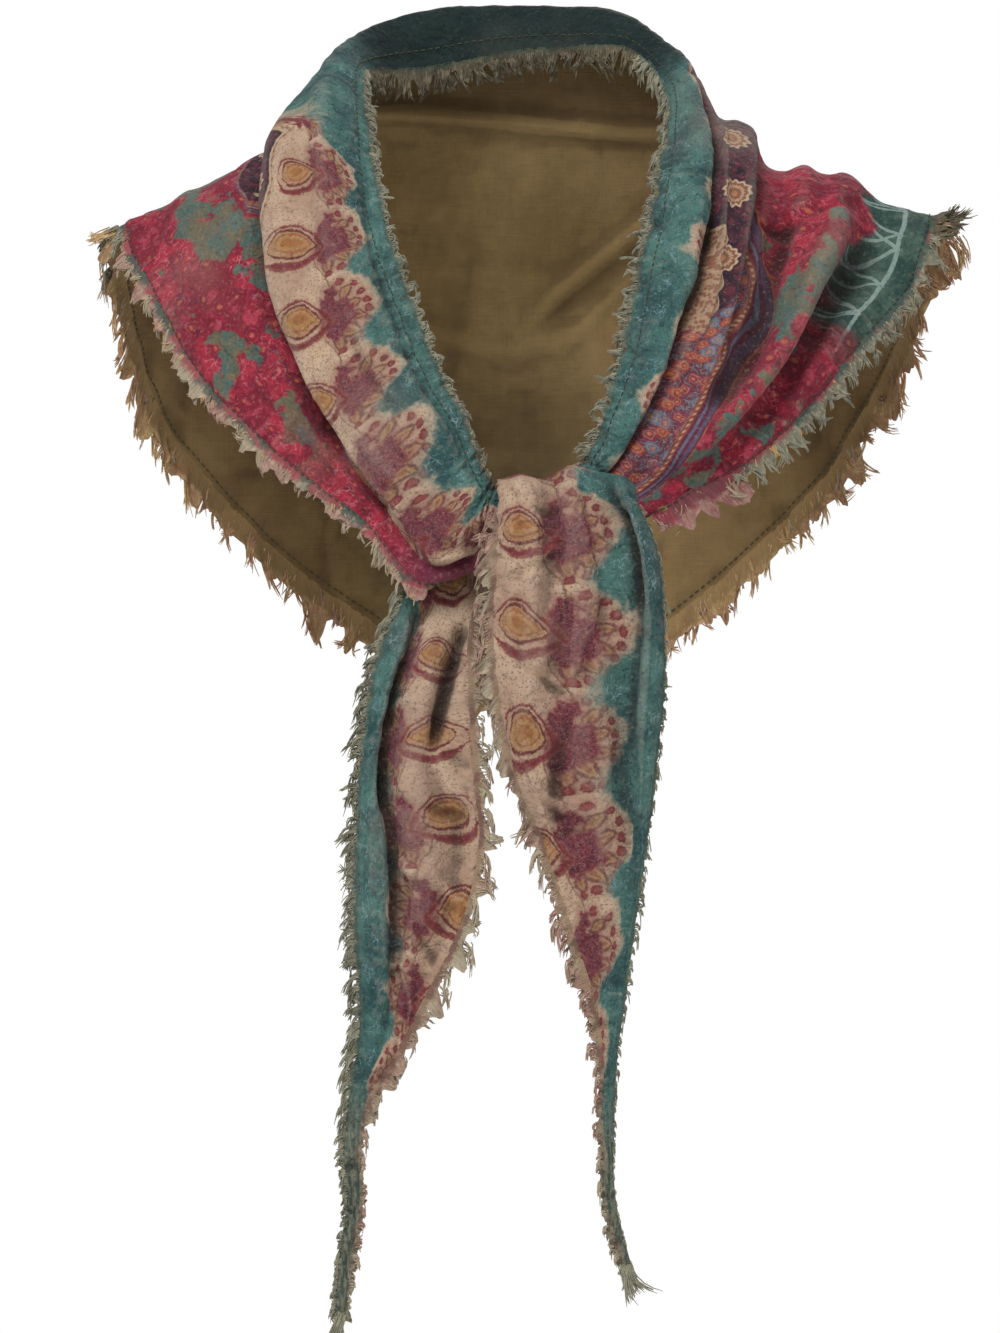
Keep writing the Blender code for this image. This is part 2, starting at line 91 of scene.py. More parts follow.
# Sections of the wound stretch, from the knot round the right shoulder, the back and the left
# shoulder into the knot: raw edge at the neck, crest of the turned band, tuck at its foot, seam near
# the short edge, how far the panel swells and how far its hem runs on.
SECTIONS = (
    # edge               crest              tuck                seam          swell hem
    ((0, -100, -178), (-2, -107, -184), (-4, -106, -194), (-8, -102, -208), 1, 4),
    ((-13, -103, -172), (-22, -115, -187), (-36, -110, -205), (-44, -104, -219), 1, 4),
    ((-25, -99, -142), (-41, -111, -154), (-61, -101, -178), (-71, -96, -190), 1, 4),
    ((-43, -88, -103), (-65, -99, -118), (-90, -88, -142), (-110, -82, -160), 2, 5),
    ((-59, -69, -58), (-84, -82, -67), (-116, -71, -84), (-151, -61, -118), 4, 5),
    ((-68, -44, -21), (-89, -58, -25), (-121, -47, -41), (-174, -34, -77), 4, 6),
    ((-72, -18, 7), (-89, -27, 12), (-118, -22, -12), (-184, -14, -60), 1, 6),
    ((-74, 8, 27), (-85, 8, 34), (-106, 8, 4), (-188, 8, -46), -5, 6),
    ((-69, 29, 31), (-76, 34, 46), (-97, 42, 5), (-186, 46, -86), 10, 7),
    ((-56, 43, 31), (-61, 53, 56), (-79, 66, 12), (-168, 80, -140), 14, 8),
    ((-39, 50, 33), (-42, 61, 60), (-55, 75, 15), (-125, 98, -194), 14, 8),
    ((-20, 53, 37), (-21, 65, 62), (-28, 79, 14), (-67, 106, -238), 12, 8),
    ((0, 54, 40), (0, 66, 62.5), (0, 80, 12), (-6, 109, -268), 11, 8),
    ((20, 53, 42), (21, 65, 62), (28, 79, 9), (53, 107, -250), 12, 8),
    ((39, 50, 43), (42, 61, 60), (55, 75, 6), (100, 102, -216), 14, 8),
    ((57, 43, 41), (63, 53, 51), (78, 66, 6), (147, 88, -168), 14, 8),
    ((70, 27, 27), (80, 31, 36), (94, 40, 3), (184, 56, -106), 9, 7),
    ((75, 5, 10), (86, 4, 22), (98, 4, 4), (200, 6, -44), -5, 6),
    ((72, -24, -10), (87, -32, -4), (97, -28, -16), (188, -26, -77), 2, 6),
    ((67, -50, -34), (84, -62, -35), (97, -53, -44), (162, -52, -107), 4, 5),
    ((60, -72, -67), (79, -84, -72), (94, -74, -82), (142, -70, -132), 4, 5),
    ((54, -88, -101), (72, -98, -107), (84, -89, -116), (117, -86, -156), 3, 5),
    ((45, -96, -132), (60, -106, -138), (71, -99, -146), (92, -97, -172), 2, 4),
    ((35, -97, -158), (46, -107, -163), (56, -102, -169), (70, -100, -184), 1, 4),
    ((20, -94, -176), (24, -99, -180), (30, -97, -186), (38, -95, -197), 1, 3),
)
LEFT_SHOULDER, SPINE, RIGHT_SHOULDER, LAST_SECTION = 7, 12, 17, 24
EDGE, CREST, TUCK, MIDDLE, SEAM = range(5)

# The largest folds, as the solids have them: from a section, across, to a section, across, the height
# that they are raised (+) or pressed in (-), and their width.
FOLDS = (
    (7.6, 1.72, 1.4, 1.68, 5.5, 8),
    (7.4, 2.16, 3.2, 2.14, -3.5, 8),
    (5.8, 2.95, 3.4, 2.7, -4.0, 9),
    (6.8, 1.2, 1.8, 0.9, 2.5, 11),
    (15.6, 2.24, 22.9, 2.48, 8.0, 9),
    (16.2, 2.58, 22.9, 2.74, -5.0, 8),
    (16.0, 3.22, 23.0, 3.05, 9.0, 12),
    (17.2, 3.62, 22.4, 3.45, -5.0, 9),
    (9.2, 2.3, 9.0, 5.8, 5.0, 16),
    (10.9, 2.5, 10.6, 5.8, -4.0, 14),
    (12.3, 2.6, 12.1, 5.8, 4.0, 16),
    (13.6, 2.5, 13.9, 5.8, -4.0, 14),
    (15.0, 2.3, 15.2, 5.8, 5.0, 16),
)
FOLD_FADE = 0.16

# The tail that falls over the crossing: left edge, pleat, crease, right edge, depth at the left and
# at the right, height, and how strongly it is gathered.
TAIL_RIGHT = (
    (-6, 14, 37, 52, -91, -111, -192, 0.3),
    (-8, 14, 38, 55, -91, -113, -178, 0.7),
    (-8.5, 13, 39, 56.5, -100, -118, -168, 1.0),
    (-8.5, 13, 40, 57.5, -117, -126, -167, 1.0),
    (-8.5, 13, 41, 59, -127, -130, -177, 0.9),
    (-9, 15, 46, 64, -131, -132, -191, 0.7),
    (-9.5, 16, 51, 68, -132, -132, -208, 0.6),
    (-11, 17, 54, 70, -133, -132, -236, 0.5),
    (-9, 17, 51, 69.5, -133, -132, -265, 0.4),
    (-4, 17, 50, 68, -133, -132, -290, 0.3),
    (5, 20, 53, 64.5, -132, -131, -322, 0.2),
    (17, 30, 54, 60, -131, -130, -352, 0.2),
    (28.5, 38, 50, 54.5, -130, -130, -388, 0.1),
    (37, 42, 48, 51, -129, -129, -415, 0.0),
    (40.5, 43, 46, 47.5, -128, -128, -440, 0.0),
    (40.5, 42.4, 44.6, 46, -127, -127, -475, 0.0),
    (42, 43.4, 45.4, 46.6, -126, -126, -507, 0.0),
    (51, 52.4, 53.8, 55, -124, -124, -543, 0.0),
)
# The other tail: left edge, lip of its turned strip, roll, hollow, right edge, depth and height.
TAIL_LEFT = (
    (-45, -40, -32, -22, -16, -84, -198),
    (-49, -45, -34, -24, -19, -88, -214),
    (-54, -48, -36, -26, -20.5, -95, -231),
    (-62, -50, -40, -30, -22, -103, -246),
    (-66, -56, -44, -32, -22, -108, -261),
    (-70, -62, -50, -35, -21, -112, -286),
    (-73, -65, -51, -35, -19, -115, -314),
    (-74, -62, -48, -32, -17, -116, -338),
    (-74.5, -61, -46.5, -33.5, -21.5, -117, -366),
    (-74, -60, -49.5, -40, -31, -118, -391),
    (-72.5, -59, -54, -48.5, -43, -118, -415),
    (-73.5, -64, -61, -58, -55, -118, -438),
    (-77.5, -74, -72.5, -71, -69, -117, -461),
    (-80.2, -77.2, -76, -74.8, -73.2, -116, -485),
    (-78.8, -76.2, -75, -73.8, -72.4, -115, -509),
    (-82.6, -80.6, -79.5, -78.4, -77.2, -114, -537),
    (-85, -83.4, -82.5, -81.6, -80.4, -113, -566),
)
NARROW, FULL_WIDTH, FULL_STRIP = 18.0, 60.0, 14.0

# How deep into the printed border each place lies, in millimetres from the long raw edge: for some
# sections, places across and the depth at each. Where two places lie close together, cloth is folded
# away out of sight.
BORDER = {
    0: ((0, 0.55, 1.3, 1.9, 2.86, 2.9, 3.1, 3.3, 4), (8, 30, 49, 58, 66, 150, 165, 170, 200)),
    1.2: ((0, 0.75, 1.45, 2.0, 2.78, 2.82, 3.1, 3.3, 4), (8, 30, 44, 53, 64, 150, 165, 172, 205)),
    2.1: ((0, 0.95, 1.6, 2.05, 2.5, 2.54, 2.9, 3.1, 4), (8, 30, 43, 52, 64, 150, 165, 172, 210)),
    2.95: ((0, 0.7, 1.5, 1.86, 2.0, 2.04, 2.8, 3, 4), (8, 30, 49, 70, 78, 150, 172, 178, 215)),
    3.6: ((0, 0.7, 1.28, 1.66, 1.98, 2.02, 2.8, 3, 4), (8, 30, 49, 71, 84, 150, 172, 178, 215)),
    4.4: ((0, 0.44, 1.02, 1.49, 1.98, 2.02, 2.8, 3, 4), (8, 30, 49, 71, 85, 150, 172, 178, 215)),
    5.1: ((0, 0.6, 1.02, 1.38, 1.98, 2.02, 2.25, 2.31, 4), (8, 30, 49, 71, 99, 150, 156, 158, 218)),
    5.4: ((0, 0.95, 1.25, 1.5, 1.98, 2.02, 2.25, 2.31, 4), (6, 30, 49, 71, 104, 106, 112, 150, 222)),
    5.65: ((0, 1.05, 1.25, 1.42, 1.98, 2.02, 2.36, 2.42, 4), (5, 30, 52, 74, 98, 100, 112, 150, 226)),
    5.85: ((0, 1.3, 1.38, 1.46, 1.98, 2.02, 2.4, 2.46, 4), (4, 28, 56, 86, 96, 98, 112, 150, 230)),
    6.3: ((0, 1.8, 1.88, 1.94, 1.98, 2.02, 2.4, 2.46, 4), (2, 28, 50, 88, 93, 95, 112, 150, 236)),
    7.2: ((0, 1.5, 1.9, 1.94, 1.98, 2.02, 2.4, 2.5, 4), (0, 24, 29, 34, 86, 92, 112, 150, 270)),
    8.5: ((0, 1.2, 1.5, 1.76, 2.0, 2.04, 2.8, 3, 4), (0, 30, 45, 60, 70, 72, 160, 190, 320)),
    12: ((0, 1.15, 1.45, 1.75, 2.0, 2.04, 2.8, 3, 4), (0, 30, 49, 66, 78, 81, 189, 215, 358)),
    14.8: ((0, 1.15, 1.5, 1.75, 1.99, 2.03, 2.8, 3, 4), (0, 30, 45, 62, 74, 76, 148, 170, 340)),
    15.6: ((0, 1.0, 1.5, 1.54, 1.95, 2.3, 2.44, 3, 4), (0, 20, 28, 90, 92, 112, 150, 190, 300)),
    16.2: ((0, 0.9, 1.1, 1.14, 1.86, 2.38, 2.44, 3, 4), (0, 20, 27, 90, 92, 115, 150, 186, 260)),
    17.2: ((0, 0.9, 1.11, 1.15, 1.86, 2.38, 2.42, 3, 4), (0, 20, 27, 90, 92, 116, 150, 172, 224)),
    17.9: ((0, 1.2, 1.78, 1.82, 2.0, 2.42, 2.46, 3, 4), (0, 22, 28, 90, 93, 117, 150, 172, 222)),
    18.8: ((0, 1.2, 1.76, 1.8, 2.0, 2.46, 2.52, 3, 4), (0, 22, 28, 90, 93, 117, 144, 170, 222)),
    19.1: ((0, 1.0, 1.74, 1.78, 2.0, 2.46, 2.5, 3, 4), (0, 22, 28, 90, 94, 117, 136, 163, 222)),
    19.4: ((0, 0.9, 1.66, 1.7, 2.0, 2.46, 2.5, 3, 4), (0, 26, 48, 90, 96, 118, 130, 163, 222)),
    19.7: ((0, 0.9, 1.5, 1.54, 1.9, 2.42, 2.46, 3, 4), (0, 20, 28, 92, 98, 119, 126, 160, 222)),
    20.3: ((0, 0.9, 1.4, 1.44, 1.8, 2.2, 2.3, 3, 4), (0, 20, 28, 104, 113, 123, 127, 162, 223)),
    20.9: ((0, 0.9, 1.28, 1.32, 1.8, 2.3, 2.8, 3, 4), (0, 20, 32, 118, 123, 130, 150, 162, 225)),
    21.6: ((0, 0.8, 1.2, 1.24, 1.8, 2.3, 2.9, 3.2, 4), (0, 26, 44, 119, 124, 130, 150, 166, 230)),
    22.4: ((0, 0.9, 1.15, 1.19, 1.8, 2.3, 3.1, 3.4, 4), (0, 22, 30, 119, 124, 129, 150, 170, 230)),
    24: ((0, 0.9, 1.15, 1.19, 1.8, 2.3, 3.1, 3.4, 4), (0, 22, 30, 119, 124, 129, 150, 170, 230)),
}
# The same for the tails, where the depths are those at the columns of the tail.
TAIL_BORDER = {
    "tail_right": {
        0: (84, 70, 55, 43, 27, 12, 0),
        8.8: (84, 70, 55, 43, 27, 12, 0),
        11.5: (62, 54, 46, 38, 26, 12, 0),
        14.0: (32, 28, 24, 20, 14, 8, 0),
    },
    "tail_left": {
        0: (0, 10, 23, 50, 66, 80, 84),
        3.3: (0, 10, 23, 50, 66, 80, 84),
        5.0: (0, 10, 22, 42, 60, 78, 84),
        6.5: (0, 11, 24, 42, 55, 70, 84),
        8.0: (0, 11, 24, 36, 46, 62, 76),
        10.0: (0, 12, 26, 35, 44, 52, 60),
        12.5: (0, 6, 12, 16, 20, 24, 28),
    },
}
# Millimetres of print for each millimetre along the cloth, and the print's shift: gathered cloth
# shows more print.
PRINT_RUN = {"wound": (1.228, -14.8), "tail_right": (0.98, 30.4), "tail_left": (1.2125, 26.7)}
# The row of each cloth that lengths along it are measured on; the other rows follow square to it.
GRAIN_ROW = {"wound": 2.0, "tail_right": 3.0, "tail_left": 4.0}

# Creases on each cloth, finer than the folds: from a section, across, to a section, across, height,
# width and how far it bows off its straight way.
CREASES = {
    "wound": (
        (7.6, 1.88, 1.2, 1.90, 3.2, 4.0, 0.00),
        (7.8, 2.07, 2.2, 2.06, -7.0, 3.2, 0.00),
        (3.6, 2.04, 1.8, 2.56, -5.0, 3.0, 0.00),
        (2.6, 2.34, 0.2, 2.90, -5.0, 3.0, 0.03),
        (16.2, 0.98, 18.2, 1.92, -6.5, 3.0, 0.00),
        (17.5, 1.84, 19.6, 1.80, -7.5, 3.0, 0.00),
        (19.0, 1.86, 21.2, 1.28, -7.5, 3.0, 0.00),
        (20.4, 1.42, 23.8, 1.16, -6.0, 2.8, 0.00),
        (17.0, 1.90, 20.9, 1.96, 5.5, 6.5, 0.04),
        (15.6, 2.12, 18.6, 2.16, 3.0, 6.0, 0.00),
        (15.0, 2.84, 18.4, 2.86, 4.5, 7.0, 0.00),
        (17.2, 1.30, 22.6, 0.96, 2.2, 4.0, 0.08),
        (4.2, 3.05, 2.8, 2.08, -3.4, 4.0, 0.10),
        (5.0, 0.24, 1.4, 0.34, -2.2, 1.8, 0.06),
        (16.6, 2.47, 20.8, 2.44, -8.0, 3.6, 0.00),
        (17.9, 2.74, 21.4, 2.70, -7.0, 4.6, 0.04),
        (17.4, 3.15, 22.6, 3.02, 7.0, 6.5, 0.06),
        (17.4, 3.50, 23.3, 3.28, -8.0, 6.5, 0.04),
        (17.0, 3.78, 20.6, 3.72, 3.5, 7.0, 0.00),
        (17.4, 3.40, 18.6, 2.50, -2.6, 5.0, 0.00),
        (0.6, 0.35, 4.2, 0.55, 1.6, 4.0, 0.10),
        (0.5, 0.95, 3.6, 1.30, -1.8, 4.0, -0.12),
        (0.7, 1.45, 3.2, 1.62, 1.8, 4.5, 0.08),
        (0.4, 2.90, 4.8, 3.30, -3.4, 6.0, 0.16),
        (0.4, 2.42, 2.6, 2.55, 3.0, 5.0, 0.10),
        (4.4, 2.60, 7.2, 3.30, 2.2, 8.0, 0.22),
        (4.9, 3.70, 7.0, 4.20, -2.2, 9.0, -0.20),
        (5.2, 0.40, 7.4, 0.52, 1.1, 4.0, 0.06),
        (2.4, 1.12, 6.4, 1.26, -1.5, 3.6, 0.05),
        (23.5, 0.45, 20.2, 0.60, 1.5, 4.0, -0.08),
        (23.4, 1.15, 19.8, 1.30, -1.5, 4.0, 0.10),
        (23.5, 2.20, 20.6, 2.16, -1.8, 4.0, 0.06),
        (23.4, 2.95, 19.6, 2.86, -2.0, 4.5, -0.08),
        (23.0, 4.10, 18.4, 4.42, -1.9, 6.0, -0.12),
        (20.8, 2.38, 17.6, 2.18, 1.4, 4.0, 0.10),
        (18.4, 2.90, 21.6, 2.96, -2.4, 6.0, 0.10),
        (16.4, 3.95, 18.9, 4.02, 3.2, 9.0, 0.16),
        (7.4, 2.60, 9.6, 3.20, -2.4, 9.0, 0.30),
        (7.2, 3.60, 9.2, 4.40, 2.2, 9.0, -0.24),
        (9.9, 2.35, 9.7, 4.60, -2.6, 8.0, 0.16),
        (11.6, 2.30, 11.2, 4.30, 2.2, 7.0, -0.14),
        (12.9, 2.50, 13.1, 4.90, -2.4, 8.0, 0.14),
        (14.4, 2.30, 14.8, 4.40, 2.4, 8.0, -0.14),
        (15.9, 2.50, 16.4, 4.30, -2.4, 9.0, 0.10),
        (9.2, 3.30, 15.2, 3.20, 1.6, 10.0, 0.62),
        (9.8, 4.10, 14.6, 4.00, -1.6, 11.0, 0.50),
        (8.4, 1.40, 12.2, 1.52, 1.2, 4.5, 0.12),
        (11.4, 1.22, 16.0, 1.46, -1.2, 4.5, -0.10),
    ),
    "tail_right": (
        (4.4, 4.55, 7.0, 4.30, -4.0, 2.6, 0.00),
        (3.2, 4.30, 9.6, 4.35, -3.0, 2.6, 0.08),
        (5.4, 2.90, 8.4, 1.10, 2.6, 4.0, 0.00),
        (6.4, 3.60, 10.6, 1.60, -2.8, 4.0, 0.00),
        (8.8, 3.60, 13.0, 2.20, 2.0, 4.0, 0.00),
        (3.4, 0.62, 8.2, 0.72, -1.6, 3.2, 0.20),
        (3.2, 1.35, 7.4, 1.30, 1.7, 3.0, 0.16),
        (3.4, 2.55, 9.4, 2.45, 1.6, 3.4, 0.18),
        (3.2, 3.45, 8.0, 3.52, -1.6, 3.0, -0.20),
        (6.6, 3.10, 12.6, 3.30, 1.5, 4.0, 0.28),
        (4.8, 5.10, 12.8, 5.05, -1.0, 2.4, 0.10),
        (8.2, 1.20, 13.6, 1.70, -1.5, 3.6, -0.22),
        (3.6, 0.30, 4.6, 2.60, -1.8, 2.8, 0.10),
        (6.2, 0.20, 5.4, 2.40, 1.8, 3.0, 0.10),
        (7.6, 0.40, 8.4, 2.80, -2.0, 3.0, -0.10),
        (9.6, 0.60, 10.2, 3.40, 2.0, 3.0, 0.10),
    ),
    "tail_left": (
        (1.6, 2.28, 6.8, 2.45, -7.0, 3.0, 0.10),
        (2.2, 3.10, 8.0, 3.40, 3.0, 5.0, 0.05),
        (5.2, 2.60, 11.4, 2.55, -4.0, 3.0, 0.10),
        (2.2, 5.50, 5.6, 4.70, -8.0, 3.2, 0.04),
        (4.2, 3.90, 6.4, 5.60, 3.5, 5.0, 0.00),
        (6.2, 3.20, 6.6, 5.90, -2.4, 3.4, 0.06),
        (7.4, 2.80, 8.2, 5.90, 3.0, 3.6, -0.10),
        (8.4, 3.80, 9.3, 5.60, -2.0, 3.0, 0.06),
        (9.2, 3.20, 10.4, 5.60, 2.2, 3.2, 0.00),
        (1.4, 1.60, 9.8, 1.70, 1.6, 2.6, 0.06),
        (4.2, 3.10, 9.6, 3.30, -1.3, 3.0, 0.16),
        (3.2, 4.40, 8.4, 4.60, 1.6, 3.4, -0.16),
        (6.4, 5.30, 10.4, 5.10, -1.5, 3.6, 0.14),
        (4.6, 1.10, 11.0, 1.05, 0.9, 2.2, 0.08),
        (8.2, 3.70, 12.2, 4.30, 1.4, 3.6, -0.20),
    ),
}
# Creases that only the lining has, in the same numbers; a height below 0 is raised towards the inside.
LINING_CREASES = (
    (15.0, 2.34, 12.2, 2.72, -5.0, 5.0, -0.05),
    (15.0, 2.48, 12.6, 2.84, -1.6, 3.0, -0.05),
    (10.2, 2.84, 13.4, 2.76, -1.4, 4.0, 0.04),
    (9.4, 3.05, 12.2, 3.18, -1.2, 6.0, 0.10),
    (8.4, 2.01, 16.2, 2.05, -5.0, 3.2, 0.00),
    (10.4, 3.60, 11.4, 4.60, -1.6, 7.0, 0.10),
    (13.8, 3.50, 13.2, 4.70, -1.8, 7.0, -0.12),
)



class RawEdge(NamedTuple):
    """A stretch of raw edge with its torn strip and loose threads, in millimetres."""

    cloth: str
    side: str  # neck or hem, left or right, or the end of a tail
    ply: str
    start: float  # sections
    end: float
    notch: float  # how far the torn strip reaches between its tabs, and at them
    tab: float
    width: float  # of a tab
    rounded: float  # a tab's shape, pointed at 1
    long: float  # the loose threads, how much they hang, and the locks of them on a tab
    hang: float
    locks: float
    torn: str  # materials
    threads: str
    solids: tuple = ()  # that the threads stand for


EDGES = {
    "front_left": RawEdge(
        "wound", "hem", "print", 0.9, 6.4, 3.2, 9.5, 9.5, 0.40, 4.6, 0.45, 4.0,
        "torn_print", "rose_threads", ("fringe_front_left",)),
    "corner_left": RawEdge(
        "wound", "hem", "print", 6.4, 7.6, 4.0, 12.0, 8.0, 0.50, 7.0, 0.50, 6.0,
        "torn_grey", "grey_threads"),
    "corner_right": RawEdge(
        "wound", "hem", "print", 16.9, 17.4, 3.0, 7.0, 5.0, 0.60, 9.0, -0.40, 5.0,
        "torn_olive", "olive_threads"),
    "front_right": RawEdge(
        "wound", "hem", "print", 17.4, 21.4, 2.6, 8.5, 8.5, 0.55, 6.0, 0.25, 5.0,
        "torn_grey", "grey_threads", ("fringe_front_right",)),
    "front_right_low": RawEdge(
        "wound", "hem", "print", 21.4, 23.2, 5.0, 15.0, 17.0, 0.32, 3.0, 0.40, 6.0,
        "torn_rose", "rose_threads"),
    "back": RawEdge(
        "wound", "hem", "print", 7.6, 16.9, 3.4, 8.0, 9.0, 0.55, 5.0, 0.25, 2.0,
        "torn_print", "pale_threads"),
    "lining_back": RawEdge(
        "wound", "hem", "lining", 6.6, 17.4, 9.0, 18.0, 15.0, 0.55, 8.0, 0.45, 4.4,
        "torn_lining", "brown_threads", ("fringe_back_left", "fringe_back_right")),
    "lining_left": RawEdge(
        "wound", "hem", "lining", 0.8, 6.6, 2.0, 5.0, 9.0, 0.75, 4.0, 0.35, 1.5,
        "torn_lining", "brown_threads"),
    "lining_right": RawEdge(
        "wound", "hem", "lining", 17.4, 23.2, 2.0, 5.0, 9.0, 0.75, 4.0, 0.35, 1.5,
        "torn_lining", "brown_threads"),
    "neck_left": RawEdge(
        "wound", "neck", "print", 0.3, 7.4, 2.2, 5.0, 5.0, 0.8, 4.2, 0.35, 3.4,
        "torn_green", "grey_threads", ("fringe_neck_left",)),
    "neck_back": RawEdge(
        "wound", "neck", "print", 7.4, 15.2, 2.4, 9.0, 9.0, 0.6, 6.5, 0.60, 8.0,
        "torn_olive", "olive_threads", ("fringe_neck_back",)),
    "neck_right": RawEdge(
        "wound", "neck", "print", 15.2, 23.7, 1.8, 5.6, 6.0, 0.55, 6.0, 0.30, 5.0,
        "torn_green", "grey_threads", ("fringe_neck_right",)),
    "tail_left_outer": RawEdge(
        "tail_left", "left", "print", 1.2, 16.0, 1.8, 5.5, 5.5, 0.8, 7.0, 0.42, 6.0,
        "torn_green", "grey_threads", ("fringe_tail_left_outer", "fringe_tip_left")),
    "tail_left_inner": RawEdge(
        "tail_left", "right", "print", 0.8, 16.0, 3.0, 11.0, 11.0, 0.5, 6.0, 0.60, 5.0,
        "torn_cream", "pale_threads", ("fringe_tail_left_inner",)),
    "tail_right_inner": RawEdge(
        "tail_right", "left", "print", 4.2, 17.0, 2.6, 10.5, 10.0, 0.5, 6.0, 0.60, 5.0,
        "torn_cream", "pale_threads", ("fringe_tail_right_inner", "fringe_tip_right")),
    "tail_right_outer": RawEdge(
        "tail_right", "right", "print", 4.0, 17.0, 0.8, 1.8, 5.0, 1.0, 3.4, 0.60, 1.6,
        "torn_green", "grey_threads"),
    "tip_left": RawEdge(
        "tail_left", "end", "print", 0.0, 0.0, 1.0, 4.0, 2.0, 0.8, 9.0, 0.30, 8.0,
        "torn_grey", "grey_threads"),
    "tip_right": RawEdge(
        "tail_right", "end", "print", 0.0, 0.0, 1.0, 4.0, 2.0, 0.8, 9.0, 0.30, 8.0,
        "torn_grey", "grey_threads"),
}


def catmull_rom(position, count):
    """Weights of count knots for a place on the smooth curve through them; the ends run on straight."""
    start = min(max(int(math.floor(position)), 0), count - 2)
    f = position - start
    shares = (
        (-f + 2 * f * f - f**3) / 2,
        (2 - 5 * f * f + 3 * f**3) / 2,
        (f + 4 * f * f - 3 * f**3) / 2,
        (f**3 - f * f) / 2,
    )
    weights = np.zeros(count)
    for knot, share in zip(range(start - 1, start + 3), shares):
        if knot < 0:
            weights[0] += 2 * share
            weights[1] -= share
        elif knot >= count:
            weights[-1] += 2 * share
            weights[-2] -= share
        else:
            weights[knot] += share
    return weights


def on_curve(knots, places):
    """Points of the smooth curve through a row of knots."""
    return np.einsum("ai,i...->a...", np.array([catmull_rom(f, len(knots)) for f in places]), knots)


def on_net(net, along, across):
    """Points of the smooth surface through a net of points, at each pair of along and across."""
    rows = on_curve(net, along)
    steps = np.diff(rows, axis=1)
    gaps = np.linalg.norm(steps, axis=2, keepdims=True)
    ways = steps / gaps
    slope = np.empty_like(rows)
    slope[:, 1:-1] = (ways[:, :-1] * gaps[:, 1:] + ways[:, 1:] * gaps[:, :-1]) / (
        gaps[:, :-1] + gaps[:, 1:]
    )
    slope[:, 0] = 1.5 * ways[:, 0] - 0.5 * slope[:, 1]
    slope[:, -1] = 1.5 * ways[:, -1] - 0.5 * slope[:, -2]
    start = np.clip(np.floor(across), 0, rows.shape[1] - 2).astype(int)
    f = (across - start)[None, :, None]
    return (
        rows[:, start] * (1 - 3 * f**2 + 2 * f**3) + rows[:, start + 1] * (3 * f**2 - 2 * f**3)
        + gaps[:, start] * (slope[:, start] * (f - 2 * f**2 + f**3) + slope[:, start + 1] * (f**3 - f**2))
    )


def unit(ways):
    """Ways cut to a length of one."""
    return ways / np.linalg.norm(ways, axis=-1, keepdims=True)


def wound_net():
    """The sections as a net of points, edge, crest, tuck, middle and seam, and the hems' ways on."""
    edge, crest, tuck, seam = (np.array([row[k] for row in SECTIONS], float) for k in range(4))
    swell, hem = (np.array([[row[k]] for row in SECTIONS], float) for k in (4, 5))
    middle = (tuck + seam) / 2
    middle = middle + unit(np.cross(np.gradient(middle, axis=0), seam - tuck)) * swell
    return np.stack([edge, crest, tuck, middle, seam], axis=1), unit(seam - middle) * hem


def relief_of(width):
    """How deep the folds of a tail are: none where it is only a twisted cord."""
    return min(max((width - NARROW) / (FULL_WIDTH - NARROW), 0.0), 1.0) ** 2


def tail_right_net():
    """Across the tail: raw edge, roll, pleat, roll, crease, turned strip, edge."""
    net = []
    for left, pleat, crease, right, y_left, y_right, z, gather in TAIL_RIGHT:
        relief = relief_of(right - left)
        strip = min((right - crease) / FULL_STRIP, 1.0)
        columns = (
            (left, 4.0, -3.5),
            ((left + pleat) / 2, -3.5, -0.5),
            (pleat, 2.0 * gather, -3.0),
            ((pleat + crease) / 2, -4.5, 3.0),
            (crease, 3.0 * strip, 0.5),
            (crease + (right - crease) * 0.6, -3.0 * strip, -0.5),
            (right, 3.5 * strip, -4.0),
        )
        net.append([
            (x, y_left + (y_right - y_left) * (x - left) / (right - left) + dent * relief,
             z + rise * gather * relief)
            for x, dent, rise in columns
        ])
    return np.array(net, float)


def tail_left_net():
    """Across the tail: raw edge, turned strip, its lip, valley, roll, hollow, edge."""
    net = []
    for left, lip, roll, hollow, right, y, z in TAIL_LEFT:
        relief = relief_of(right - left)
        strip = min((lip - left) / FULL_STRIP, 1.0)
        net.append([
            (x, y + dent * relief, z)
            for x, dent in (
                (left, 3.0 * strip), ((left + lip) / 2, -4.0 * strip), (lip, -1.0 * strip),
                (lip + (roll - lip) * 0.45, 4.0), (roll, -4.0), (hollow, 3.0), (right, -1.0),
            )
        ])
    return np.array(net, float)


WOUND, HEMS = wound_net()
TAILS = {"tail_right": tail_right_net(), "tail_left": tail_left_net()}
STEP = 0.02


def slopes(surface, along, across):
    """How a surface runs per section and falls per column, in millimetres."""
    run = surface(along + STEP, across) - surface(along - STEP, across)
    fall = surface(along, across + STEP) - surface(along, across - STEP)
    return run / (2 * STEP), fall / (2 * STEP)


def wound_base(along, across):
    """The wound stretch without its folds; past the seam the hem runs straight on."""
    hems = on_curve(HEMS, along)[:, None] * np.maximum(across - SEAM, 0)[None, :, None]
    return on_net(WOUND, along, np.minimum(across, SEAM)) + hems


def reach(marks, across):
    """How many millimetres across the cloth each place lies, between the marks of its section."""
    across = np.broadcast_to(across, (marks.shape[0], across.shape[1]))
    start = np.clip(np.floor(across), 0, marks.shape[1] - 2).astype(int)
    low, high = (np.take_along_axis(marks, start + side, 1) for side in (0, 1))
    return low + (high - low) * (across - start)


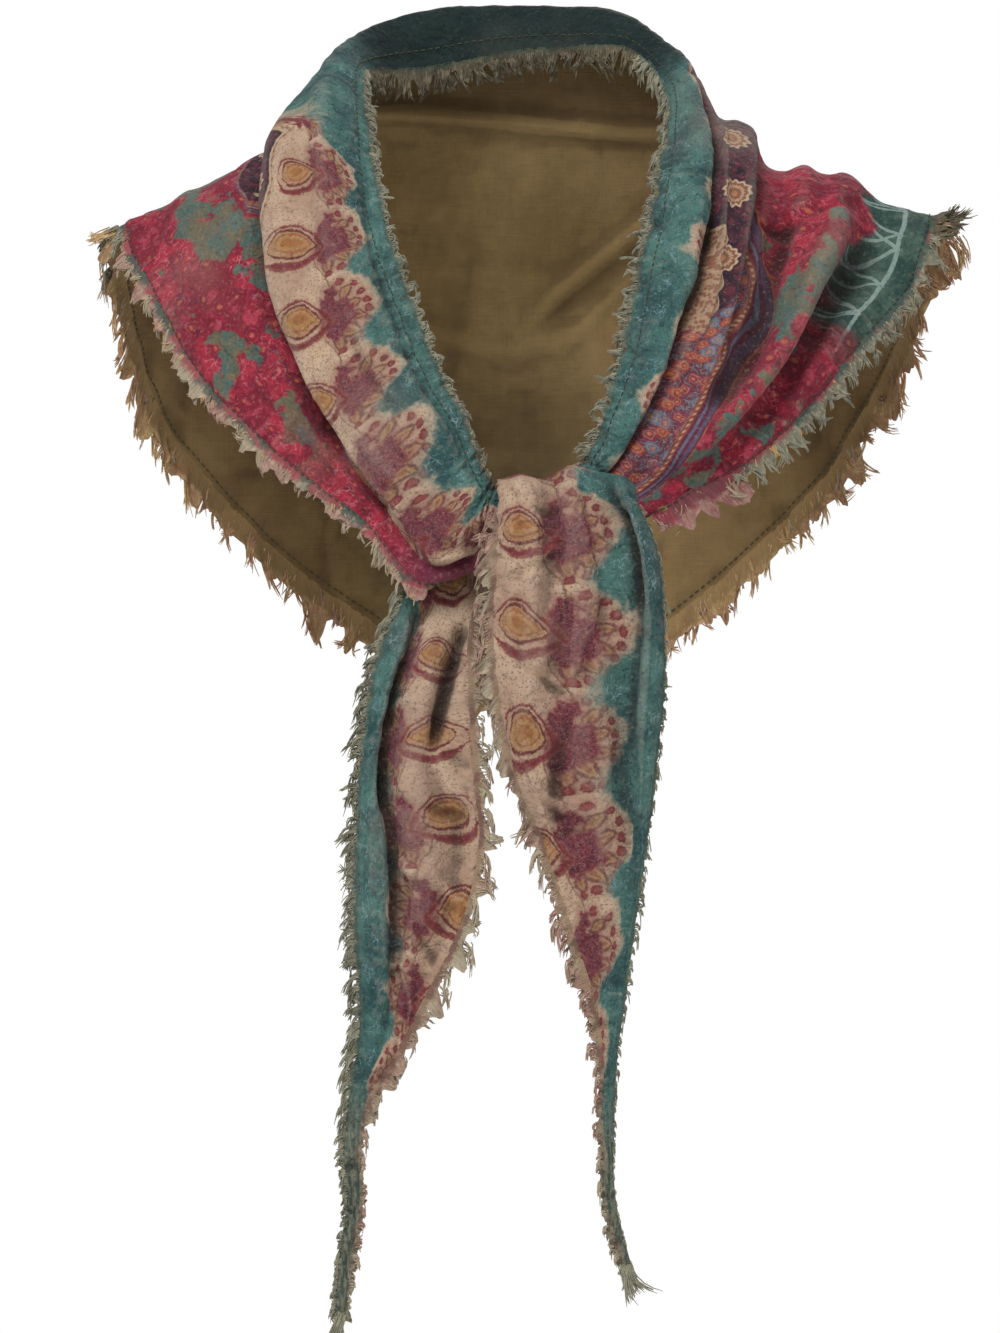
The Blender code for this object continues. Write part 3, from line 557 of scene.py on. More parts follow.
def lifts(net, along, across, run, folds):
    """How far folds or creases raise the cloth at each place. A crease may bow off its straight way."""
    gaps = np.linalg.norm(np.diff(on_curve(net, along), axis=1), axis=2)
    marks = np.pad(gaps.cumsum(axis=1), ((0, 0), (1, 0)))
    far = reach(marks, across[None])
    speed = np.linalg.norm(run, axis=2)
    lift = np.zeros(run.shape[:2])
    for from_section, from_across, to_section, to_across, height, width, *bow in folds:
        sections, columns = to_section - from_section, to_across - from_across
        bow = bow[0] if bow else 0.0
        if abs(sections) > abs(columns):
            place = ((along - from_section) / sections)[:, None]
            bent = bow * 4 * np.clip(place * (1 - place), 0, 1)
            away = far - reach(marks, from_across + columns * place + bent)
        else:
            place = ((across - from_across) / columns)[None]
            bent = bow * 4 * np.clip(place * (1 - place), 0, 1)
            away = (along[:, None] - from_section - sections * place - bent) * speed
        fade = np.clip(np.minimum(place, 1 - place) / FOLD_FADE, 0, 1)
        lift += height * fade * fade * (3 - 2 * fade) * np.exp(-((away / width) ** 2))
    return lift


def wound(along, across):
    """The printed side of the wound stretch, with its folds."""
    run, fall = slopes(wound_base, along, across)
    lift = lifts(WOUND, along, across, run, FOLDS)
    return wound_base(along, across) + unit(np.cross(run, fall)) * lift[:, :, None]


def ragged(places, seed, octaves=1):
    """Smooth random numbers between -1 and 1 at each place, a length of 1 apart."""
    total = np.zeros(places.shape[:-1])
    for octave in range(octaves):
        at = places * 2.0**octave + 17.3 * (seed + octave)
        cell = np.floor(at).astype(np.int64)
        f = at - cell
        f = f * f * (3 - 2 * f)
        for corner in np.ndindex(*(2,) * places.shape[-1]):
            weight = np.prod(np.where(corner, f, 1 - f), axis=-1)
            turn = ((cell + corner) * np.array((127.1, 311.7, 74.7))[: places.shape[-1]]).sum(axis=-1)
            drawn = np.modf(np.abs(np.sin(turn + seed * 13.7)) * 43758.5453)[0]
            total += weight * (drawn * 2 - 1) / 2**octave
    return total


class Cloth:
    """A stretch of cloth: its printed face, and how far along and across it each place lies."""

    def __init__(self, name, surface, net, last_column, middle, border):
        self.name, self.surface, self.net, self.border = name, surface, net, border
        self.calm = 1.0 if name == "wound" else 0.7
        self.last_section, self.last_column = len(net) - 1, last_column
        self.sections = np.linspace(0, self.last_section, 8 * self.last_section + 1)
        self.columns = np.linspace(0, last_column, 8 * last_column + 1)
        points = surface(self.sections, self.columns)
        along = np.linalg.norm(np.diff(points, axis=0), axis=2).cumsum(axis=0)
        along = np.pad(along, ((1, 0), (0, 0)))
        along -= along[np.searchsorted(self.sections, middle)]
        grain = int(np.searchsorted(self.columns, GRAIN_ROW[name]))
        way = unit(np.gradient(points, axis=0))
        shift = (np.diff(points, axis=1) * (way[:, 1:] + way[:, :-1]) / 2).sum(axis=2).cumsum(axis=1)
        shift = np.pad(shift, ((0, 0), (1, 0)))
        self.run_table = along[:, grain:grain + 1] + shift - shift[:, grain:grain + 1]
        across = np.linalg.norm(np.diff(points, axis=1), axis=2).cumsum(axis=1)
        self.fall_table = np.pad(across, ((0, 0), (1, 0)))

    def read(self, table, along, across):
        """A table's value at each pair of along and across."""
        rows = np.array([np.interp(along, self.sections, column) for column in table.T]).T
        return np.array([np.interp(across, self.columns, row) for row in rows])

    def length(self, along, across):
        """Millimetres along the cloth from its middle."""
        return self.read(self.run_table, along, across)

    def inward(self, along, across):
        """Millimetres across the cloth from its first edge, and from its last."""
        there = self.read(self.fall_table, along, across)
        whole = np.interp(along, self.sections, self.fall_table[:, -1])[:, None]
        return there, whole - there

    def print_place(self, along, across):
        """Where in the print each place lies: along the border, and how deep into it."""
        run, shift = PRINT_RUN[self.name]
        length = self.length(along, across)
        if self.name == "wound":
            length = np.abs(length)
        return np.stack([length * run + shift, self.border(along, across)], axis=-1)

    def face(self, along, across, ply):
        """Points of one ply with its wrinkles, and the ways out of it. ply is print or lining."""
        along, across = np.asarray(along, float), np.asarray(across, float)
        base = self.surface(along, across)
        run, fall = slopes(self.surface, along, across)
        out = unit(np.cross(run, fall))
        first, last = self.inward(along, across)
        lift = lifts(self.net, along, across, run, CREASES[self.name])
        lift += self.puckers(base, self.length(along, across), first, last)
        grain = 0.5 - np.abs(ragged(base / 15.0, 4 if ply == "print" else 12, 2))
        fine = 0.4 - np.abs(ragged(base / 6.5, 5 if ply == "print" else 13))
        lift += (grain * 1.0 + fine * 0.5) * scarf_cloth().crumple / MM * self.calm
        if ply == "lining":
            lift += lifts(self.net, along, across, run, LINING_CREASES) - self.gap(first, last)
        return base + out * lift[:, :, None], out

    def gap(self, first, last):
        """From the printed face to the lining's: the plies are drawn together along their stitches."""
        inside = np.clip(np.minimum(first, last) / 12.0, 0, 1)
        return scarf_cloth().ply_gap / MM * (0.45 + 0.55 * inside * inside * (3 - 2 * inside))

    def puckers(self, base, length, first, last):
        """Puckers off the rows of stitches, and soft wrinkles all over, which both plies share."""
        settings = scarf_cloth()
        total = np.zeros(length.shape)
        for away, seam, wave, hold in ((first, settings.neck_seam / MM, 7.0, 17.0), (last, 0.0, 8.0, 15.0)):
            slant = ragged(np.stack([length, away], axis=-1) / 36.0, 5) * 9.0
            ridge = 0.45 - np.abs(ragged(((length + slant * away / 12.0) / wave)[..., None], 6, 2)) * 1.4
            groove = np.exp(-(((away - seam) / 1.7) ** 2))
            fade = np.exp(-np.maximum(away - seam - 3.0, 0) / hold)
            total += (ridge * fade * (1 - groove) - groove * 0.5) * settings.pucker / MM
        if self.name == "wound":
            total = total * np.clip((np.abs(length) - 90.0) / 90.0, 0.3, 1.0)
        soft = ragged(base / 30.0, 7, 2) * 1.5
        return (total + soft * settings.crumple / MM) * self.calm


def border_of(table):
    """A border's depth at each pair of along and across, from its table."""
    knots = sorted(table)
    rows = [table[knot] for knot in knots]
    rows = [row if isinstance(row[0], tuple) else (range(len(row)), row) for row in rows]
    places, depths = np.array(rows, float).transpose(1, 2, 0)

    def depth(along, across):
        here, deep = ([np.interp(along, knots, mark) for mark in marks] for marks in (places, depths))
        return np.array([np.interp(across, *pair) for pair in zip(np.transpose(here), np.transpose(deep))])

    return depth


def hollows(points, out):
    """How many millimetres each place lies below the cloth close around it, and further round it."""
    spread, found = points.copy(), []
    steps = [np.linalg.norm(np.diff(points, axis=axis), axis=2).mean() for axis in (0, 1)]
    for near in (2.2, 8.5):
        for axis, step in enumerate(steps):
            side = np.moveaxis(spread, axis, 0)
            for _ in range(int(2 * (near / step) ** 2) + 1):
                side[1:-1] = (side[:-2] + 2 * side[1:-1] + side[2:]) / 4
        found.append(((spread - points) * out).sum(axis=2))
    return np.stack(found, axis=-1)


def make_cloths():
    cloths = {"wound": Cloth("wound", wound, WOUND, SEAM, SPINE, border_of(BORDER))}
    for name, net in TAILS.items():
        border = border_of(TAIL_BORDER[name])
        cloths[name] = Cloth(name, partial(on_net, net), net, net.shape[1] - 1, 0, border)
    return cloths


def even_places(cloth, start, end, spacing, row):
    """Places along a cloth, the same distance in millimetres apart on one of its rows."""
    fine = np.linspace(start, end, 900)
    points = cloth.surface(fine, np.array([float(row)]))[:, 0]
    length = np.pad(np.linalg.norm(np.diff(points, axis=0), axis=1).cumsum(), (1, 0))
    return np.interp(np.linspace(0, length[-1], max(int(length[-1] / spacing), 2) + 1), length, fine)


RIM_SPACING = 0.8
# How far a torn strip starts inside the cloth's edge, and how far inside a tail's end its threads do.
OVERLAP, ROOTED = 0.8, 6.0


class Rim:
    """Along a raw edge of a cloth: its points, the way out past it, the way up from the printed face
    and the way along it, at even distances."""

    def __init__(self, edge):
        cloth = CLOTHS[edge.cloth]
        first = edge.side in ("neck", "left")
        row = 0.0 if first else float(cloth.last_column)
        if edge.side == "end":
            across = np.linspace(0, cloth.last_column, 8)
            last = float(cloth.last_section)
            points, out = cloth.face([last], across, edge.ply)
            inside = cloth.surface(np.array([last - 4 * STEP]), across)
            base = cloth.surface(np.array([last]), across)
            self.points, self.up = points[0], out[0]
            self.out = unit((base - inside).mean(axis=1, keepdims=True) + 0.0 * base)[0]
        else:
            along = even_places(cloth, edge.start, edge.end, RIM_SPACING, row)
            points, out = cloth.face(along, [row], edge.ply)
            step = 4 * STEP if first else -4 * STEP
            inside = cloth.surface(along, np.array([row + step]))
            base = cloth.surface(along, np.array([row]))
            self.points, self.up = points[:, 0], out[:, 0]
            self.out = unit(base - inside)[:, 0]
        self.way = unit(np.gradient(self.points, axis=0))
        steps = np.linalg.norm(np.diff(self.points, axis=0), axis=1)
        self.length = np.pad(steps.cumsum(), (1, 0))


# ---------------------------------------------------------------------------------------------------
# Meshes
# ---------------------------------------------------------------------------------------------------


def deselect():
    if bpy.context.object and bpy.context.object.mode != "OBJECT":
        bpy.ops.object.mode_set(mode="OBJECT")
    bpy.ops.object.select_all(action="DESELECT")


def cloth_mesh(name, points, maps, material):
    """A grid primitive with its vertices placed on points, which may run any way but outwards is
    where rows cross columns. maps holds UV maps by name, each a grid of two numbers."""
    rows, columns = points.shape[:2]
    deselect()
    bpy.ops.mesh.primitive_grid_add(x_subdivisions=rows - 1, y_subdivisions=columns - 1, size=1)
    piece = bpy.context.object
    piece.name = piece.data.name = name
    mesh = piece.data
    if len(mesh.vertices) != rows * columns:
        raise RuntimeError(f"{name}: the grid has {len(mesh.vertices)} points, not {rows * columns}")
    flat = np.empty(rows * columns * 3)
    mesh.vertices.foreach_get("co", flat)
    flat = flat.reshape(-1, 3)
    i = np.rint((flat[:, 0] + 0.5) * (rows - 1)).astype(int)
    j = np.rint((flat[:, 1] + 0.5) * (columns - 1)).astype(int)
    mesh.vertices.foreach_set("co", (points[i, j] * MM).ravel())
    corners = np.empty(len(mesh.loops), int)
    mesh.loops.foreach_get("vertex_index", corners)
    while mesh.uv_layers:
        mesh.uv_layers.remove(mesh.uv_layers[0])
    for map_name, values in maps.items():
        layer = mesh.uv_layers.new(name=map_name)
        layer.uv.foreach_set("vector", values[i, j][corners].astype(np.float32).ravel())
    mesh.materials.clear()
    mesh.materials.append(material)
    bpy.ops.object.shade_smooth()
    mesh.update()
    return piece


def tubes(name, lines, thickness, material, sides=0):
    """Fine threads as one mesh: each line is its points in millimetres and its thickness at each."""
    deselect()
    curve = bpy.data.curves.new(name, "CURVE")
    curve.dimensions = "3D"
    curve.bevel_depth = thickness
    curve.bevel_resolution = sides
    curve.use_fill_caps = True
    for points, radii in lines:
        spline = curve.splines.new("POLY")
        spline.points.add(len(points) - 1)
        spline.points.foreach_set("co", np.pad(points * MM, ((0, 0), (0, 1)), constant_values=1).ravel())
        spline.points.foreach_set("radius", radii)
    curve.materials.append(material)
    piece = bpy.data.objects.new(name, curve)
    bpy.context.scene.collection.objects.link(piece)
    piece.select_set(True)
    bpy.context.view_layer.objects.active = piece
    bpy.ops.object.convert(target="MESH")
    piece = bpy.context.object
    piece.name = piece.data.name = name
    bpy.ops.object.shade_smooth()
    return piece


def finish_piece(piece, slot, *nodes):
    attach(piece, "root")
    if nodes:
        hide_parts(*nodes)
    return piece


# ---------------------------------------------------------------------------------------------------
# Shader maths
# ---------------------------------------------------------------------------------------------------


def rgb(red, green, blue):
    """A colour as a screen shows it, in the shader's own light."""
    return tuple(
        c / 255 / 12.92 if c <= 10 else ((c / 255 + 0.055) / 1.055) ** 2.4 for c in (red, green, blue)
    ) + (1.0,)


class Amount:
    """A number that changes over a surface: a socket that can be added, multiplied and so on."""

    def __init__(self, paint, socket):
        self.paint, self.socket = paint, socket

    def __add__(self, other):
        return self.paint.math("ADD", self, other)

    def __sub__(self, other):
        return self.paint.math("SUBTRACT", self, other)

    def __rsub__(self, other):
        return self.paint.math("SUBTRACT", other, self)

    def __mul__(self, other):
        return self.paint.math("MULTIPLY", self, other)

    def __truediv__(self, other):
        return self.paint.math("DIVIDE", self, other)

    def __abs__(self):
        return self.paint.math("ABSOLUTE", self)

    __radd__, __rmul__ = __add__, __mul__


class Paint:
    """One material in the making."""

    def __init__(self, name, roughness, sheen):
        self.material = bpy.data.materials.new(name)
        self.material.use_nodes = True
        self.tree = self.material.node_tree
        self.shader = self.tree.nodes["Principled BSDF"]
        self.shader.inputs["Roughness"].default_value = roughness
        self.shader.inputs["Metallic"].default_value = 0.0
        self.shader.inputs["Specular IOR Level"].default_value = 0.25
        self.shader.inputs["Sheen Weight"].default_value = sheen
        self.shader.inputs["Sheen Roughness"].default_value = 0.6

    def node(self, kind, settings=None, values=None):
        """A node of a kind, its settings first and then its sockets, by name or number."""
        made = self.tree.nodes.new("ShaderNode" + kind)
        for key, value in (settings or {}).items():
            setattr(made, key, value)
        for key, value in (values or {}).items():
            self.feed(made.inputs[key], value)
        return made

    def feed(self, socket, value):
        """Links a socket to another or sets it to a plain value."""
        if isinstance(value, Amount):
            value = value.socket
        if isinstance(value, bpy.types.NodeSocket):
            self.tree.links.new(value, socket)
        else:
            socket.default_value = value

    def math(self, operation, *values):
        made = self.node("Math", {"operation": operation}, dict(enumerate(values)))
        return Amount(self, made.outputs[0])

    def least(self, *values):
        total = values[0]
        for value in values[1:]:
            total = self.math("MINIMUM", total, value)
        return total

    def most(self, *values):
        total = values[0]
        for value in values[1:]:
            total = self.math("MAXIMUM", total, value)
        return total

    def step(self, value, low, high):
        """From 0 at low to 1 at high, smoothly; low may be above high."""
        made = self.node("MapRange", {"interpolation_type": "SMOOTHSTEP"},
                         {"Value": value, "From Min": low, "From Max": high})
        return Amount(self, made.outputs[0])

    def vector(self, x, y, z=0.0):
        return self.node("CombineXYZ", values={0: x, 1: y, 2: z}).outputs[0]

    def parts(self, vector):
        made = self.node("SeparateXYZ", values={0: vector})
        return [Amount(self, socket) for socket in made.outputs]

    def vector_math(self, operation, *values):
        return self.node("VectorMath", {"operation": operation}, dict(enumerate(values))).outputs[0]

    def noise(self, vector, scale, detail=2.0, roughness=0.5, distortion=0.0, colour=False):
        made = self.node("TexNoise", {"noise_dimensions": "3D"}, {
            "Vector": vector, "Scale": scale, "Detail": detail, "Roughness": roughness,
            "Distortion": distortion})
        return made.outputs["Color"] if colour else Amount(self, made.outputs["Fac"])

    def cells(self, vector, scale, feature="F1", spread=1.0, flat=True):
        made = self.node("TexVoronoi", {"voronoi_dimensions": "2D" if flat else "3D", "feature": feature},
                         {"Vector": vector, "Scale": scale, "Randomness": spread})
        return made

    def uv(self, name):
        return self.node("UVMap", {"uv_map": name}).outputs[0]

    def mix(self, share, under, over):
        made = self.node("Mix", {"data_type": "RGBA", "clamp_factor": True})
        for name, value in (("Factor_Float", share), ("A_Color", under), ("B_Color", over)):
            self.feed(next(s for s in made.inputs if s.identifier == name), value)
        return next(s for s in made.outputs if s.identifier == "Result_Color")

    def bump(self, height, distance, strength=1.0):
        made = self.node("Bump", values={"Height": height, "Distance": distance, "Strength": strength})
        self.tree.links.new(made.outputs[0], self.shader.inputs["Normal"])

    def colour(self, socket):
        self.tree.links.new(socket, self.shader.inputs["Base Color"])

    def rough(self, value):
        self.tree.links.new(value.socket, self.shader.inputs["Roughness"])


# ---------------------------------------------------------------------------------------------------
# The print
# ---------------------------------------------------------------------------------------------------

# Millimetres into the border where each band ends, and along it the motifs' repeat.
GREEN_TO = 30.0
BORDER_TO = 87.0
FLOWERS_FROM, FLOWERS_TO = 119.0, 133.0
STRIPES_TO = 150.0
REPEAT = 48.5
# Heights in metres between which the tails turn to felted cord.
FELTED = (-0.44, -0.495)

BURGUNDY = rgb(118, 42, 56)
PURPLE = rgb(90, 44, 62)
OCHRE = rgb(172, 128, 78)
TAN = rgb(176, 140, 102)
RUST = rgb(146, 76, 54)
BERRY = rgb(122, 52, 54)


def green_ground(paint, along, deep, body, behind):
    """Faded teal with short pale and dark pen strokes; the strip behind the neck is darkened with painted
    shade.
    """
    colours = scarf_print()
    cloud = paint.noise(body, 42.0, 3.0, 0.6)
    ground = paint.mix(paint.step(cloud, 0.34, 0.66), rgb(48, 84, 84), tuple(colours.green))
    bent = paint.vector(along * 0.10, deep * 0.26, cloud * 2.0)
    crossed = paint.vector(along * 0.22, deep * 0.08, cloud * 3.0)
    marks = paint.step(abs(paint.noise(bent, 1.0, 1.0) - 0.5), 0.016, 0.005)
    marks = paint.most(marks, paint.step(abs(paint.noise(crossed, 1.1, 1.0) - 0.47), 0.015, 0.005))
    where = paint.noise(paint.vector(along * 0.07, deep * 0.07, 4.0), 1.0, 1.0)
    ground = paint.mix(marks * paint.step(where, 0.50, 0.58) * 0.70, ground, rgb(128, 162, 168))
    ground = paint.mix(marks * paint.step(where, 0.49, 0.42) * 0.75, ground, rgb(26, 56, 66))
    # painted shade: the strip behind the neck goes nearly black
    return paint.mix(behind * 0.92, ground, rgb(12, 30, 29))


def teardrop(paint, x, y, tip, end, width, lean):
    """Below 0 inside a teardrop from tip to end whose point leans aside; in millimetres."""
    free = (y - tip) / (end - tip)
    t = paint.most(paint.least(free, 1.0), 0.0)
    round_off = paint.math("SQRT", paint.most(1.0 - t * t, 0.0))
    half = paint.math("POWER", t, 0.8) * round_off * (0.5 * width / 0.539)
    off = 1.0 - t
    return abs(x + off * off * lean) - half + abs(free - t) * abs(end - tip)


def flower(paint, x, y, cx, cy, radius, petals, depth):
    """Below 0 inside a flower with petals, in millimetres."""
    across, up = x - cx, y - cy
    away = paint.math("SQRT", across * across + up * up)
    turn = paint.math("ARCTAN2", across, up)
    return away - paint.math("SINE", turn * petals) * depth - radius


def leaf(paint, x, y, cx, cy, tilt, length, width):
    """Below 0 inside a leaf that is pointed at both ends, in millimetres; tilt in degrees."""
    c, s = math.cos(math.radians(tilt)), math.sin(math.radians(tilt))
    u = (x - cx) * c + (y - cy) * s
    v = (y - cy) * c - (x - cx) * s
    return abs(v) + u * u * (2 * width / length**2) - width / 2


def paisley_border(paint, along, deep, body):
    """Cream cloth with teardrops, flower clusters, berries and leaves, once each repeat."""
    colours = scarf_print()
    sway = paint.parts(paint.noise(paint.vector(along * 0.07, deep * 0.07, 1.0), 1.0, 1.0, colour=True))
    jitter = paint.parts(paint.noise(paint.vector(along * 0.75, deep * 0.75, 5.0), 1.0, 1.0, colour=True))
    x = paint.math("WRAP", along, REPEAT / 2 + 6, 6 - REPEAT / 2) + sway[0] * 5.0 + jitter[0] * 1.8 - 3.4
    y = deep + sway[1] * 5.0 + jitter[1] * 1.8 - 3.4
    rough = (paint.noise(paint.vector(along, deep), 0.42, 2.0) - 0.5) * 2.4

    stain = paint.noise(body, 36.0, 3.0, 0.6)
    ground = paint.mix(paint.step(stain, 0.34, 0.68), rgb(178, 146, 124), tuple(colours.cream))
    dots = Amount(paint, paint.cells(paint.vector(along, deep), 0.40, spread=0.8).outputs["Distance"])
    ground = paint.mix(paint.step(stain, 0.56, 0.70) * 0.35, ground, rgb(196, 160, 120))
    beads = paint.step(dots, 0.20, 0.11) * paint.step(stain, 0.42, 0.52)
    ground = paint.mix(beads * 0.65, ground, rgb(96, 80, 62))

    # The stem that links the clusters, and the leaves towards the green.
    stem = abs(y - 54.0 - paint.math("SINE", along * (2 * math.pi / REPEAT)) * 5.0)
    ground = paint.mix(paint.step(stem + rough * 0.5, 0.9, 0.2) * 0.7, ground, rgb(104, 72, 56))
    leaves = [leaf(paint, x, y, *row) for row in (
        (18.0, 43.0, -40, 14.0, 6.4), (21.5, 49.0, -5, 12.0, 5.6), (12.0, 38.5, -75, 13.0, 6.0),
        (3.0, 38.0, -100, 11.0, 5.6), (-5.5, 41.0, -135, 10.0, 5.0))]
    leafy = paint.least(*leaves) + rough * 0.5
    ground = paint.mix(paint.step(leafy, 5.0, 0.5) * 0.55, ground, rgb(156, 112, 94))
    ground = paint.mix(paint.step(leafy, 1.4, 0.2) * 0.9, ground, rgb(100, 54, 54))
    ground = paint.mix(paint.step(leafy, -0.3, -1.2), ground, rgb(170, 132, 94))
    ground = paint.mix(paint.step(leafy, -1.6, -2.4) * 0.7, ground, rgb(134, 82, 58))

    # Clusters of flowers with a lilac bloom, and the berries beside them.
    cluster = paint.least(*(
        flower(paint, x, y, cx, cy, size, 5.0, 0.7) for cx, cy, size in (
            (7.0, 51.0, 7.6), (14.5, 50.0, 5.4), (-1.0, 52.5, 5.6), (10.5, 43.5, 5.2), (3.0, 44.0, 4.6),
            (-8.0, 49.5, 4.0)))
    ) + rough * 1.3
    ground = paint.mix(paint.step(cluster, 6.0, 0.5) * 0.55, ground, rgb(150, 104, 92))
    ground = paint.mix(paint.step(cluster, 1.6, -0.8), ground, BURGUNDY)
    bloom = paint.noise(paint.vector(along, deep), 0.55, 2.0, 0.6)
    ground = paint.mix(paint.step(cluster, 0.2, -1.2) * paint.step(bloom, 0.56, 0.42) * 0.85, ground, PURPLE)
    ground = paint.mix(paint.step(cluster, -1.0, -3.0) * paint.step(bloom, 0.54, 0.66) * 0.6, ground,
                       rgb(124, 98, 112))
    veins = paint.step(abs(bloom - 0.48), 0.030, 0.010) * paint.step(cluster, 0.4, -0.4)
    ground = paint.mix(veins * 0.6, ground, rgb(170, 116, 102))
    berries = paint.least(*(
        flower(paint, x, y, cx, cy, size, 3.0, 0.15) for cx, cy, size in (
            (-12.5, 43.5, 2.2), (26.5, 42.5, 2.4), (25.5, 37.0, 2.3), (21.5, 34.0, 2.5), (16.0, 32.0, 2.2),
            (9.5, 30.5, 2.4), (3.5, 30.0, 2.1), (-3.0, 32.0, 2.2), (-9.5, 35.5, 2.0), (28.0, 48.5, 2.2)))
    ) + rough * 0.6
    ground = paint.mix(paint.step(berries, 3.2, 0.5) * 0.4, ground, rgb(156, 112, 94))
    ground = paint.mix(paint.step(berries, 0.6, -0.4), ground, BERRY)
    ground = paint.mix(paint.step(berries, -0.6, -1.1) * 0.6, ground, rgb(150, 84, 78))

    # The teardrop in a thick loop that sweeps down to the cluster, with nested outlines.
    sweep = teardrop(paint, x - 1.0, y, 51.0, 83.5, 27.0, -8.0) + rough * 0.7
    drop = teardrop(paint, x, y, 57.5, 80.5, 19.5, -5.0) + rough * 0.4
    inner = teardrop(paint, x + 0.3, y, 61.5, 77.5, 12.0, -3.0) + rough * 0.4
    core = teardrop(paint, x + 0.4, y, 65.5, 75.0, 5.6, -1.5)
    ground = paint.mix(paint.step(sweep, 4.5, 0.5) * 0.35, ground, rgb(164, 122, 100))
    thick = paint.step(x - y * 0.5, -38.0, -22.0) * 1.6 + 0.7
    ground = paint.mix(paint.step(abs(sweep + 0.6) - thick, 0.7, -0.5) * 0.9, ground, rgb(128, 60, 56))
    ground = paint.mix(paint.step(abs(sweep + 0.9) - thick * 0.5, 0.3, -0.3) * 0.7, ground, BURGUNDY)
    ground = paint.mix(paint.step(drop, 0.9, -0.3), ground, rgb(112, 56, 52))
    ground = paint.mix(paint.step(drop, -1.0, -1.9), ground, TAN)
    scales = paint.noise(paint.vector(along, deep, 7.0), 0.9, 1.0)
    scaly = paint.step(drop, -1.0, -1.9) * paint.step(abs(scales - 0.5), 0.05, 0.02)
    ground = paint.mix(scaly * 0.7, ground, RUST)
    ground = paint.mix(paint.step(abs(inner), 1.2, 0.2) * 0.85, ground, rgb(158, 92, 60))
    ground = paint.mix(paint.step(inner, -1.0, -2.0), ground, OCHRE)
    return paint.mix(paint.step(core, 0.8, -0.6) * 0.6, ground, rgb(150, 88, 54))


def lace_band(paint, along, deep, body, section, column):
    """Lace medallions drawn on aubergine, with small maroon flowers further in."""
    tone = paint.noise(body, 95.0, 2.0, 0.6)
    ground = paint.mix(paint.step(tone, 0.40, 0.62), rgb(54, 34, 46), rgb(84, 44, 56))
    middle = BORDER_TO + 14.5
    scallop = paint.math("WRAP", along, REPEAT / 2, -REPEAT / 2) * 0.8
    away = paint.math("SQRT", scallop * scallop + (deep - middle) * (deep - middle))
    turn = paint.math("ARCTAN2", scallop, deep - middle)
    edge = flower(paint, scallop, deep, 0.0, middle, 8.0, 12.0, 0.6)
    fan = paint.math("SINE", paint.math("PINGPONG", along, 7.5) * (math.pi / 15.0)) * 4.5
    panel = paint.most((abs(section - 19.92) - 0.76) * 34.0, (column - 2.04) * 56.0 - fan)
    edge = paint.least(edge, panel, deep - BORDER_TO - 2.0) + (paint.noise(body, 260.0, 2.0) - 0.5) * 2.0
    ring = paint.math("SINE", away * 1.75)
    lace = paint.step(paint.math("SINE", turn * 18.0) * 0.6 + ring, 0.0, 0.35)
    mesh = Amount(paint, paint.cells(body, 440.0, flat=False).outputs["Distance"])
    mesh = paint.step(mesh, 0.34, 0.60) * 0.8
    lace = lace * paint.step(away, 9.0, 8.0) + mesh * paint.step(away, 8.0, 9.0)
    ground = paint.mix(paint.step(edge, 0.3, -0.3), ground, rgb(142, 92, 72))
    ground = paint.mix(paint.step(edge, -0.1, -0.8) * lace * 0.85, ground, rgb(186, 158, 126))
    ground = paint.mix(paint.step(abs(edge + 0.5), 1.0, 0.3) * 0.9, ground, rgb(196, 172, 144))
    ground = paint.mix(paint.step(away, 2.0, 1.4) * 0.8, ground, rgb(170, 116, 80))
    flowers = paint.cells(paint.vector(along, deep), 0.17, spread=0.8)
    bud = paint.step(Amount(paint, flowers.outputs["Distance"]), 0.34, 0.22)
    outside = paint.step(edge, 1.5, 3.0)
    return paint.mix(bud * outside * 0.65, ground, rgb(116, 50, 64))


def flower_row(paint, along, deep):
    """Small flowers in orange, blue and rose, packed close."""
    sway = paint.parts(paint.noise(paint.vector(along * 0.2, deep * 0.2, 1.0), 1.0, 1.0, colour=True))
    flowers = paint.cells(paint.vector(along + sway[0] * 4.0, deep * 1.9 + sway[1] * 4.0), 0.118, spread=0.9)
    away = Amount(paint, flowers.outputs["Distance"])
    hue = paint.parts(flowers.outputs["Color"])[0]
    petals = paint.mix(paint.step(hue, 0.38, 0.42), rgb(158, 70, 58), rgb(96, 114, 134))
    petals = paint.mix(paint.step(hue, 0.66, 0.70), petals, rgb(138, 54, 72))
    ragged_edge = (paint.noise(paint.vector(along, deep), 1.1, 1.0) - 0.5) * 0.22
    net = paint.step(abs(paint.noise(paint.vector(along, deep * 1.9), 0.30, 2.0) - 0.5), 0.030, 0.012)
    ground = paint.mix(net * 0.7, rgb(112, 58, 70), rgb(118, 142, 150))
    ground = paint.mix(paint.step(away + ragged_edge, 0.52, 0.38), ground, petals)
    outline = paint.step(abs(away + ragged_edge - 0.27), 0.07, 0.02)
    ground = paint.mix(outline * 0.6, ground, rgb(176, 134, 112))
    return paint.mix(paint.step(away, 0.16, 0.08) * 0.85, ground, rgb(196, 122, 78))


